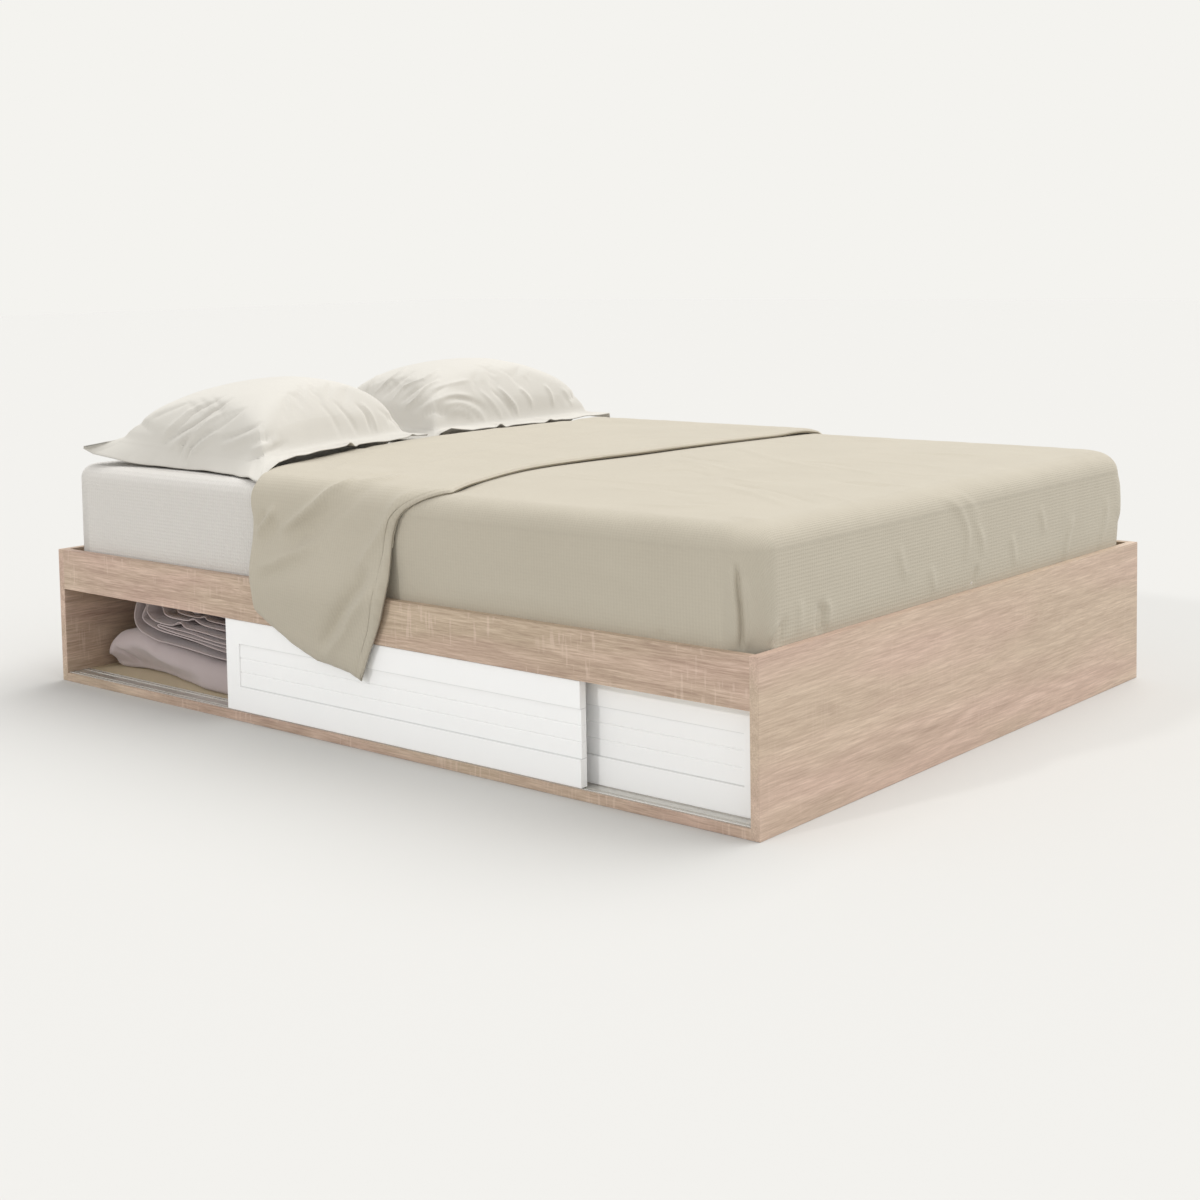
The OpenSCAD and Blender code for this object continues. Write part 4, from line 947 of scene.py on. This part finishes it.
def makeTurnback():
    t = turnback
    rows, cols = t["rows"], t["columns"]
    # rows lie closer together at the fold and at the hem
    even = np.linspace(0, 1, rows)
    share = even - 0.115 * np.sin(2 * math.pi * even)
    path = turnbackPath(0.0, 0.19, t["farLow"])
    spread = lengthAlong(path)
    places = np.interp(np.linspace(0, spread[-1], cols), spread, np.arange(len(path)))
    foldX, hemX = (smoothLine(np.array(t[key]) / 1000 - t["headX"], places)
                   for key in ("foldReach", "hemReach"))
    double = np.clip((places - 8.5) / 2, 0, 1) * np.clip((19.5 - places) / 2, 0, 1)
    double = double * double * (3 - 2 * double)
    width = np.interp(places, np.arange(len(path)), spread)
    outer, inner, marks = np.zeros((3, rows, cols, 3))
    for r in range(rows):
        low = np.interp(foldX[0] + (hemX[0] - foldX[0]) * share[r], *(np.array(t["lowEdge"]).T / 1000))
        base = smoothPath(turnbackPath(0.0, low, t["farLow"]), places)
        out = smoothPath(turnbackPath(0.001, low, t["farLow"]), places) - base
        out /= np.linalg.norm(out, axis=1, keepdims=True)
        x = foldX + (hemX - foldX) * share[r]
        run, left = x - foldX, hemX - x
        # a round nose at the fold, where the cloth turns under
        under = -t["thick"] * double
        nose, centre = (t["thick"] - under) / 2, (t["thick"] + under) / 2
        curve = np.sqrt(np.clip(1 - (1 - np.clip(run / nose, 0, 1)) ** 2, 0, 1))
        hem = t["hemThick"] + (t["thick"] - t["hemThick"]) * np.clip(left / t["hemRound"], 0, 1) ** 0.7
        high = np.minimum(centre + nose * curve, hem)
        deep = (centre - nose * curve) * (1 - np.clip((run - t["fold"]) / t["foldEnd"], 0, 1))
        deep = np.where(left < 0.002, high * 0.5, deep)
        high = np.where(left < 0.0015, hem * 0.6, high)
        # the hanging ends thin out, and a stitch line runs a little way in from the hem
        ends = np.clip(np.minimum(width, spread[-1] - width) / t["thinEnd"], 0, 1) ** 0.6
        high = deep + (high - deep) * (0.3 + 0.7 * ends)
        high = high - t["stitchDepth"] * np.exp(-((left - t["stitchIn"]) / t["stitchWidth"]) ** 2)
        outer[r] = np.column_stack([x, base + out * high[:, None]])
        inner[r] = np.column_stack([x, base + out * deep[:, None]])
        marks[r] = np.column_stack([x, width, np.zeros(cols)])
    normal = -gridNormals(outer, False)
    drop = np.clip((0.46 - outer[..., 2]) / 0.25, 0, 1) * (outer[..., 1] < 0)
    ripple = softNoise(outer * [1, 2.0, 1], 0.075, 21) * 0.6 + softNoise(outer, 0.030, 22) * 0.22
    ripple += softNoise(outer * [4.0, 0.6, 1], 0.060, 23) * 0.35
    lift = markedLift(outer, False, drapeFolds, 1.5) * t["foldGain"]
    lift += ripple * t["ripple"] * np.clip((hemX - outer[..., 0]) / 0.05, 0.15, 1)
    # it hangs out over the frame's edge and leans back in towards its corner
    hang = t["wave"] * drop * (1 + np.sin(outer[..., 0] * 17 + outer[..., 2] * 9)) / 2
    hang += t["lean"] * drop ** 0.5 * np.exp(-((outer[..., 2] - 0.325) / 0.085) ** 2)
    under = np.maximum(lift * 0.85 + hang, 0.0)
    outer = outer + normal * np.maximum(lift + hang, under - 0.006)[..., None]
    inner = inner + normal * under[..., None]
    piece = addCloth("duvet_turned_back", outer, inner, marks, "duvet_linen", "duvet_turnback")


makeTurnback()


# Pillows in flanged cases, each puffed up by cloth simulation and laid on the sheet

pillowCase = {"rise": 0.125, "sink": 0.035, "floor": 0.4972, "pressure": 4.0, "steps": 20, "farthest": 0.014,
              "creaseWidth": 0.85, "creaseHeight": 1.4, "softenings": 14, "flangeRows": 15,
              "flangeThick": 0.0022, "stitch": 0.0007, "ruffle": 0.0025, "ripple": 0.0014}
# Outer corners of the flange run from the head end on the door side, anticlockwise from above
nearPillow = {
    "name": "near_pillow_case", "node": "near_pillow",
    "corners": [(-0.884, -0.706), (-0.280, -0.700), (-0.490, -0.012), (-0.942, -0.082)],
    "doorEdge": [(-1, -0.894, -0.699), (-0.90, -0.874, -0.687), (-0.61, -0.791, -0.663),
                 (-0.38, -0.7215, -0.647), (-0.02, -0.612, -0.640), (0.21, -0.540, -0.641),
                 (0.59, -0.420, -0.656), (0.795, -0.350, -0.678), (1, -0.280, -0.700)],
    "edgeZ": [[(-1, 0.5365), (-0.90, 0.5235), (-0.61, 0.5085), (-0.38, 0.5042), (-0.02, 0.5030),
               (0.21, 0.5035), (0.59, 0.5020), (0.795, 0.5012), (1, 0.5008)],
              [(-1, 0.503), (-0.9, 0.520), (-0.8, 0.532), (-0.6, 0.539), (0.0, 0.539), (0.4, 0.534),
               (1, 0.530)],
              [(-1, 0.520), (1, 0.528)], [(-1, 0.541), (-0.7, 0.528), (1, 0.520)]],
    # shares of the way out to the seam: head, foot, door side, far side
    "seamZ": [0.560, 0.534, 0.535, 0.540], "seam": (0.880, 0.900, 0.822, 0.910), "size": (0.43, 0.59),
    "fullness": (0.40, 0.45), "lean": (0.22, 0.02), "crown": 0.684, "seed": 4,
    "creases": [
        ([(160, 446), (172, 437), (190, 426), (211, 412), (225, 403), (235, 397)], 5, 6.2),
        ([(166, 452), (178, 442), (196, 431), (216, 418), (229, 409)], 9, -4.6),
        ([(166, 439), (182, 424), (196, 411), (216, 401), (228, 395)], 6, 4),
        ([(160, 438), (175, 424), (190, 411), (207, 402)], 7, -2.6),
        ([(184, 466), (188, 451), (199, 439), (216, 427)], 5, 4.6),
        ([(189, 466), (193, 453), (204, 442), (220, 431)], 7, -4),
        ([(177, 463), (182, 446), (194, 432), (208, 420)], 5.5, 4),
        ([(216, 441), (238, 434), (254, 427), (264, 421)], 5.5, 3.6),
        ([(220, 447), (240, 440), (256, 433)], 8, -3),
        ([(201, 439), (216, 429), (235, 415), (248, 407)], 8, 3),
        ([(150, 420), (170, 410), (190, 402)], 9, 2.4),
        ([(354, 402), (366, 415), (371, 432)], 7, 2.8),
        ([(332, 400), (347, 415), (359, 434)], 8, 2.8),
        ([(360, 402), (372, 416), (378, 432)], 7, -2.4),
        ([(318, 402), (332, 416), (342, 436)], 9, 1.8),
        ([(376, 408), (392, 421), (402, 432)], 8, 2),
        ([(243, 463), (252, 459), (262, 455), (274, 449), (290, 443)], 6, 3.6),
        ([(248, 452), (262, 446), (280, 438)], 8, -2.6)],
    "edgeFolds": [((0.80, -1.0), 0.022, 0.007), ((0.10, -1.0), 0.012, 0.004), ((0.17, -1.0), 0.010, -0.005),
                  ((1.0, 0.02), 0.012, 0.006), ((1.0, 0.08), 0.010, -0.004), ((1.0, 0.80), 0.014, 0.005)]}
farPillow = {
    "name": "far_pillow_case", "node": "far_pillow",
    "corners": [(-0.958, 0.026), (-0.512, 0.030), (-0.512, 0.698), (-0.958, 0.700)],
    "edgeZ": [[(-1, 0.520), (0.3, 0.506), (1, 0.512)],
              [(-1, 0.512), (-0.93, 0.528), (-0.82, 0.536), (-0.70, 0.529), (-0.6, 0.524), (0.2, 0.524),
               (1, 0.526)],
              [(-1, 0.526), (1, 0.515)], [(-1, 0.515), (1, 0.520)]],
    "seamZ": [0.540, 0.526, 0.532, 0.540], "seam": (0.880, 0.905, 0.945, 0.900), "size": (0.392, 0.60),
    "fullness": (0.42, 0.38), "lean": (0.05, -0.10), "crown": 0.688, "seed": 9,
    "creases": [
        ([(367, 391), (374, 380), (381, 375), (389, 370)], 6, 3.4),
        ([(374, 394), (386, 383), (397, 375), (407, 369)], 5.5, 4.8),
        ([(381, 399), (392, 388), (403, 379), (415, 371)], 9, -3.4),
        ([(391, 403), (401, 392), (407, 386), (424, 380), (440, 369)], 5.5, 5),
        ([(398, 405), (410, 394), (424, 385), (440, 376)], 9, -4),
        ([(403, 409), (417, 399), (426, 388), (441, 380)], 5.5, 4.6),
        ([(410, 412), (424, 402), (436, 392), (450, 384)], 8, -3.2),
        ([(430, 391), (447, 385), (470, 380)], 7, 3),
        ([(422, 410), (436, 401), (455, 395), (474, 397)], 8, 3.6),
        ([(443, 407), (455, 403), (466, 405), (481, 415), (488, 424)], 8, 3.6),
        ([(447, 413), (458, 410), (467, 413), (476, 420)], 7, 3),
        ([(440, 400), (458, 399), (474, 402), (490, 413)], 8, -2.8),
        ([(497, 386), (506, 395), (515, 406), (519, 416)], 5, 4.2),
        ([(490, 388), (500, 397), (509, 408), (513, 418)], 8, -3),
        ([(518, 387), (527, 395), (533, 407)], 7, 3.2),
        ([(478, 390), (490, 400), (499, 412), (503, 420)], 7, 2.2),
        ([(543, 384), (550, 393), (553, 406)], 7, 3.4),
        ([(560, 388), (568, 396), (572, 406)], 8, 2.2)],
    "edgeFolds": [((1.0, -0.28), 0.012, 0.009), ((1.0, 0.28), 0.012, 0.006), ((1.0, -0.22), 0.014, -0.002)]}


def fourWay(values, u, v):
    a, b, c, d = [np.asarray(value, float) for value in values]
    u, v = (np.asarray(u, float) + 1) / 2, (np.asarray(v, float) + 1) / 2
    if a.ndim:
        u, v = u[..., None], v[..., None]
    return a * (1 - u) * (1 - v) + b * u * (1 - v) + c * u * v + d * (1 - u) * v


# A stuffed bag, puffed up a little more by cloth simulation, as two grids joined round their rim
def blowUp(p, nx=52, ny=70):
    c = pillowCase
    even = np.linspace(-1, 1, nx), np.linspace(-1, 1, ny)
    u, v = np.meshgrid(*[0.62 * e + 0.38 * np.sin(e * math.pi / 2) for e in even], indexing="ij")
    x = u * p["size"][0] / 2 * (1 - 0.06 * (1 - v ** 2))
    y = v * p["size"][1] / 2 * (1 - 0.045 * (1 - u ** 2))
    leanU, leanV = u - p["lean"][0] * (1 - u * u), v - p["lean"][1] * (1 - v * v)
    fullU, fullV = p["fullness"]
    dome = np.clip(1 - leanU ** 2, 0, 1) ** fullU * np.clip(1 - leanV ** 2, 0, 1) ** fullV
    away = (np.abs(leanU) ** 5 + np.abs(leanV) ** 5) ** 0.2
    dome = 0.65 * dome + 0.35 * np.clip(1 - np.minimum(away, 1) ** 2.2, 0, 1) ** 0.42
    top, bottom = np.stack([x, y, c["rise"] * dome], -1), np.stack([x, y, -c["sink"] * dome], -1)
    upper = np.arange(nx * ny).reshape(nx, ny)
    inside = np.zeros((nx, ny), bool)
    inside[1:-1, 1:-1] = True
    lower = upper.copy()
    lower[inside] = nx * ny + np.arange(inside.sum())
    # the start is a little flatter, and the air fills it up again
    points = np.concatenate([(top * [1, 1, 0.93]).reshape(-1, 3), (bottom * [1, 1, 0.8])[inside]])
    quads = []
    for grid, flip in ((upper, False), (lower, True)):
        quad = np.stack([grid[:-1, :-1], grid[1:, :-1], grid[1:, 1:], grid[:-1, 1:]], -1).reshape(-1, 4)
        quads.append(quad[:, ::-1] if flip else quad)
    mesh = bpy.data.meshes.new("bag")
    mesh.from_pydata(points.tolist(), [], np.concatenate(quads).tolist())
    bag = addObject("bag", mesh)
    cloth = bag.modifiers.new("blow", "CLOTH")
    s = cloth.settings
    s.quality = 6
    s.mass = 0.25
    s.tension_stiffness = s.compression_stiffness = 16.0
    s.shear_stiffness = 6.0
    s.bending_stiffness = 0.12
    s.use_pressure = True
    s.uniform_pressure_force = c["pressure"]
    s.effector_weights.gravity = 0.0
    cloth.collision_settings.use_collision = False
    cloth.point_cache.frame_start, cloth.point_cache.frame_end = 1, c["steps"]
    for step in range(1, c["steps"] + 1):
        bpy.context.scene.frame_set(step)
    done = bag.evaluated_get(bpy.context.evaluated_depsgraph_get()).data
    spots = np.array([vert.co for vert in done.vertices])
    bpy.context.scene.frame_set(1)
    bpy.data.objects.remove(bag)
    # no point moves too far from its start
    move = spots - points
    far = np.linalg.norm(move, axis=1, keepdims=True)
    spots = points + move * np.minimum(1, c["farthest"] / np.maximum(far, 1e-9))
    return spots[upper], spots[lower]


# Rows and columns of a grid made three times as dense along smooth curves
def refine(grid, times=3):
    for turn in (0, 1):
        flat = grid.reshape(len(grid), -1)
        grid = smoothLine(flat, np.linspace(0, len(grid) - 1, times * (len(grid) - 1) + 1))
        grid = grid.reshape(len(grid), -1, 3) if flat.shape[1] % 3 == 0 else grid
        grid = grid.swapaxes(0, 1)
    return grid


# The puffed body laid on the bed: out to its seam, and up or down from the seam's height
def layBody(p, points, rise, sink):
    floor = pillowCase["floor"]
    head, foot, doorSide, farSide = p["seam"]
    u, v = np.moveaxis(points[..., :2] / (np.array(p["size"]) / 2), -1, 0)
    corner = 1 - 0.07 * (u * v) ** 6
    u = u * (head + (foot - head) * (u + 1) / 2) * corner
    v = v * (doorSide + (farSide - doorSide) * (v + 1) / 2) * corner
    seam = fourWay(p["seamZ"], u, v)
    z = points[..., 2]
    up = seam + z / rise * (p["crown"] - seam)
    down = np.maximum(seam + z / sink * (seam - floor) * 1.5, floor)
    return np.concatenate([fourWay(p["corners"], u, v), np.where(z >= 0, up, down)[..., None]], -1)


# Rows of points from the seam out to the flange's own edge, where the bound shares say the side
def flangeRows(p, rim, bound):
    onU, onV = bound.T
    side = np.where(onV <= -0.9999, 0, np.where(onU >= 0.9999, 1, np.where(onV >= 0.9999, 2, 3)))
    at = np.where(side % 2 == 0, onU, onV)
    edgeZ = np.zeros(len(rim))
    for k, heights in enumerate(p["edgeZ"]):
        edgeZ = np.where(side == k, np.interp(at, *np.array(heights).T), edgeZ)
    edge = fourWay(p["corners"], *(bound * (1 - 0.010 * (1 - at[:, None] ** 2))).T)
    if "doorEdge" in p:
        along, *line = np.array(p["doorEdge"]).T
        bowed = np.column_stack([np.interp(at, along, values) for values in line])
        edge = np.where((side == 0)[:, None], bowed, edge)
    ruffle = softNoise(np.column_stack([edge, np.zeros(len(edge))]), 0.055, p["seed"] + 1)
    ruffle *= pillowCase["ruffle"]
    for spot, width, height in p["edgeFolds"]:
        away = np.linalg.norm(edge - fourWay(p["corners"], *spot), axis=1)
        ruffle += height * np.exp(-(away / width) ** 2)
    rows = []
    for t in np.linspace(0, 1, pillowCase["flangeRows"] + 1)[1:]:
        z = np.maximum(rim[:, 2] + (edgeZ - rim[:, 2]) * t ** 0.8 + ruffle * t, pillowCase["floor"] + 0.003)
        rows.append(np.column_stack([rim[:, :2] * (1 - t) + edge * t, z]))
    return np.array(rows)


# The body runs smoothly into its flange there; what comes back is the creases' lines on it
def softenSeam(mesh, near, creases):
    form = bmesh.new()
    form.from_mesh(mesh)
    form.verts.ensure_lookup_table()
    how = {"verts": [form.verts[int(k)] for k in near], "factor": 0.5}
    how.update({"use_axis_x": True, "use_axis_y": True, "use_axis_z": True})
    for _ in range(pillowCase["softenings"]):
        bmesh.ops.smooth_vert(form, **how)
    form.normal_update()
    wide, high = pillowCase["creaseWidth"], pillowCase["creaseHeight"]
    marked = [(pixels, wide * width, high * height) for pixels, width, height in creases]
    folds = foldsOn(BVHTree.FromBMesh(form), marked)
    form.to_mesh(mesh)
    form.free()
    return folds


def makePillow(p):
    c = pillowCase
    top, bottom = blowUp(p)
    rise, sink = top[..., 2].max(), -bottom[..., 2].min()
    top, bottom = refine(top), refine(bottom)
    nx, ny = top.shape[:2]
    body, base = layBody(p, top, rise, sink), layBody(p, bottom, rise, sink)
    number = np.arange(nx * ny).reshape(nx, ny)
    loop = np.concatenate([number[:, 0], number[-1, 1:], number[-2::-1, -1], number[0, -2:0:-1]])
    share = top.reshape(-1, 3)[loop, :2] / (np.array(p["size"]) / 2)
    bound = share / np.maximum(np.abs(share).max(1, keepdims=True), 1e-6)
    strip = flangeRows(p, body.reshape(-1, 3)[loop], bound)

    # one closed skin: the body's top, the underside and the flange's two faces
    drop = np.array([0, 0, c["flangeThick"]])
    base[[0, -1]], base[:, [0, -1]] = body[[0, -1]] - drop, body[:, [0, -1]] - drop
    points = np.concatenate([part.reshape(-1, 3) for part in (body, base, strip, strip - drop)])
    size, (count, long) = nx * ny, strip.shape[:2]
    ring = count * long
    upper = np.arange(ring).reshape(count, -1) + 2 * size
    lower = upper + ring
    faces = [gridFaces(nx, ny, 0, flip=True), gridFaces(nx, ny, size),
             gridFaces(count, long, 2 * size, True), gridFaces(count, long, 2 * size + ring, True, True),
             bandFaces(loop, upper[0], True), bandFaces(lower[0], loop + size, True),
             bandFaces(upper[-1], lower[-1], True)]
    flat = np.concatenate([part.reshape(-1, 3) for part in (top, bottom, strip, strip)]) * [1, 1, 0]
    piece = addPiece(p["name"], points, np.concatenate(faces), flat, "pillow_cotton", p["node"])

    near = [number[:6], number[-6:], number[:, :6], number[:, -6:], upper[:6], lower[:6], loop + size]
    near = np.unique(np.concatenate([part.reshape(-1) for part in near]))
    folds = softenSeam(piece.data, near, p["creases"])
    spots = np.array([vert.co for vert in piece.data.vertices])
    ways = np.array([vert.normal for vert in piece.data.vertices])
    puff = np.clip((spots[:, 2] - 0.55) / 0.04, 0, 1)
    lift = foldLift(spots, folds, 1.5) + softNoise(spots, 0.06, p["seed"]) * c["ripple"] * puff
    # a row of stitches sits a little way out on the flange
    lift[upper[1]] -= c["stitch"]
    isTop = np.zeros(len(spots))
    isTop[:size] = isTop[2 * size:2 * size + ring] = 1.0
    move = ways * (lift * isTop)[:, None]
    move[2 * size + ring:] = move[2 * size:2 * size + ring]
    spots += move
    spots[:, 2] = np.maximum(spots[:, 2], c["floor"])
    piece.data.vertices.foreach_set("co", spots.reshape(-1).astype(np.float32))
    piece.data.update()


makePillow(nearPillow)
makePillow(farPillow)


# Blankets in the open bay: a thick one folded once, and a thin one folded many times on it

lowerBlanket = {
    "top": [(-924, 74), (-912, 90), (-884, 106), (-843, 115), (-796, 121), (-764, 116), (-722, 104),
            (-667, 98), (-599, 91), (-533, 84), (-458, 84), (-366, 82)],
    "front": [(-928, -641), (-850, -641), (-780, -643), (-700, -648), (-366, -648)],
    "foot": [(-928, -624), (-890, -611), (-840, -602), (-763, -600), (-717, -606), (-643, -624),
             (-555, -648), (-465, -648), (-366, -648)],
    "crease": [([(110.5, 646), (114, 647), (123.8, 651.5), (133.5, 657.3), (141, 664)], 5.5, -10),
               ([(110, 642), (116, 643.5), (126, 648), (137, 654.5), (146, 662)], 10, 3.5)],
    "left": -0.928, "right": -0.368, "back": -0.300, "low": 0.0186, "lowest": 0.0184, "round": 0.036,
    "lowRound": 0.014, "lumps": 0.0022, "nap": 0.0005}
# The front edge of the pile: (x, z) along the cloth from the lowest layer to the top one
upperBlanket = {"layers": [
    [(-400, 93), (-457, 96), (-532, 100), (-599, 104), (-666, 108), (-708, 110), (-736, 115), (-771, 124),
     (-788, 135), (-795, 149), (-794, 167), (-787, 185), (-778, 196), (-767, 199), (-757, 195)],
    [(-752, 186), (-760, 174), (-768, 163), (-770, 153), (-759, 145), (-734, 138), (-700, 132), (-648, 128),
     (-597, 124), (-472, 115), (-404, 112), (-397, 116), (-404, 120)],
    [(-472, 123), (-597, 131), (-648, 134), (-690, 138), (-710, 141), (-714, 144), (-702, 145), (-648, 141),
     (-597, 138), (-472, 131), (-404, 129), (-397, 134), (-404, 140)],
    [(-471, 143), (-560, 147), (-610, 149), (-628, 157), (-640, 158), (-654, 151), (-671, 149), (-699, 150),
     (-727, 154), (-744, 164), (-749, 174), (-744, 187), (-734, 196), (-715, 199), (-698, 195)],
    [(-690, 186), (-686, 174), (-665, 167), (-612, 165), (-597, 170), (-585, 171), (-573, 166), (-550, 162),
     (-470, 159), (-404, 157), (-397, 162), (-404, 168)],
    [(-469, 174), (-528, 177), (-541, 184), (-558, 179), (-588, 178), (-628, 180), (-640, 186), (-636, 195),
     (-622, 199), (-606, 198), (-594, 193), (-583, 188), (-567, 188), (-555, 194), (-530, 192), (-470, 190),
     (-400, 188)]],
    "front": -0.647, "back": -0.302, "thick": 0.0034, "steps": 620, "shift": 0.006, "sway": 0.0016}


def makeLowerBlanket():
    p = lowerBlanket
    tops, feet, fronts = (np.array(p[key]).T / 1000 for key in ("top", "foot", "front"))
    left, right, r = p["left"], p["right"], p["round"]
    stations = np.concatenate([left + r * (1 - np.cos(np.linspace(0.12, math.pi / 2, 12))),
                               np.linspace(left + r, right - r, 78)[1:-1],
                               right - r * (1 - np.cos(np.linspace(math.pi / 2, 0.12, 10)))])
    rings = []
    for x in stations:
        away = min(x - left, right - x, r)
        inset = r - math.sqrt(max(r * r - (r - away) ** 2, 1e-9))
        high = np.interp(x, *tops) - inset * 0.35
        front = np.interp(x, *fronts) + inset * 0.7
        foot = np.interp(x, *feet) + inset * 0.6
        back, low = p["back"] - inset, p["low"] + inset * 0.55
        bend = min(r, (high - low) / 2 - 0.001)
        tight = min(bend, p["lowRound"])
        corners = [(front + bend, high - bend, 90, bend), (foot + tight, low + tight, 180, tight),
                   (back - bend, low + bend, 270, bend), (back - bend, high - bend, 0, bend)]
        loop = [(x, y + size * math.cos(turn), z + size * math.sin(turn)) for y, z, start, size in corners
                for turn in np.radians(start + np.linspace(0, 90, 9))]
        rings.append(spacedEvenly(np.array(loop + loop[:1]), 121)[:-1])
    rings = np.array(rings)
    way = gridNormals(rings, True)
    if (way * (rings - rings.mean((0, 1)))).sum() < 0:
        way = -way
    lift = markedLift(rings, True, p["crease"])
    lift += softNoise(rings, 0.07, 31) * p["lumps"] + softNoise(rings, 0.022, 32) * p["nap"]
    rings = rings + way * lift[..., None]
    rings[..., 2] = np.maximum(rings[..., 2], p["lowest"])
    run = np.array([lengthAlong(ring) for ring in rings])
    marks = np.stack([rings[..., 0], run, np.zeros_like(run)], -1)
    piece = addRings("lower_blanket_fold", rings, None, marks, "blanket_wool", "lower_blanket")


def makeUpperBlanket():
    p = upperBlanket
    path = np.concatenate([np.array(layer, float) for layer in p["layers"]]) / 1000
    line = smoothLine(path, np.linspace(0, len(path) - 1, 12 * (len(path) - 1) + 1))
    length = float(lengthAlong(line)[-1])
    even = np.linspace(0, length, p["steps"])
    line = spacedEvenly(line, p["steps"])
    side = np.gradient(line, axis=0)
    side /= np.linalg.norm(side, axis=1, keepdims=True)
    out = np.column_stack([-side[:, 1], side[:, 0]])
    across = np.concatenate([np.linspace(p["front"], p["front"] + 0.006, 4),
                             np.linspace(p["front"] + 0.016, p["back"], 26)])
    skins = []
    for sign in (1, -1):
        grid = np.zeros((len(line), len(across), 3))
        for k, y in enumerate(across):
            # it thins out towards its front edge
            thick = p["thick"] * (0.55 + 0.45 * min(1, k / 3))
            at = line + out * (sign * thick / 2)
            grid[:, k] = np.column_stack([at[:, 0], np.full(len(line), y), at[:, 1]])
        skins.append(grid)
    shift = softNoise(np.column_stack([line[:, 0], even, line[:, 1]]), 0.16, 41) * p["shift"]
    sway = softNoise(skins[0] * [1, 1, 0.3], 0.12, 42) * p["sway"]
    for grid in skins:
        grid[..., 1] += shift[:, None] * np.linspace(1, 0.2, len(across))
        grid[..., 2] += sway
    marks = np.stack([*np.meshgrid(even, across, indexing="ij"), np.zeros(skins[0].shape[:2])], -1)
    piece = addCloth("upper_blanket_folds", *skins, marks, "blanket_wool", "upper_blanket")
    print("upper blanket runs", round(length, 3), "m")


makeLowerBlanket()
makeUpperBlanket()
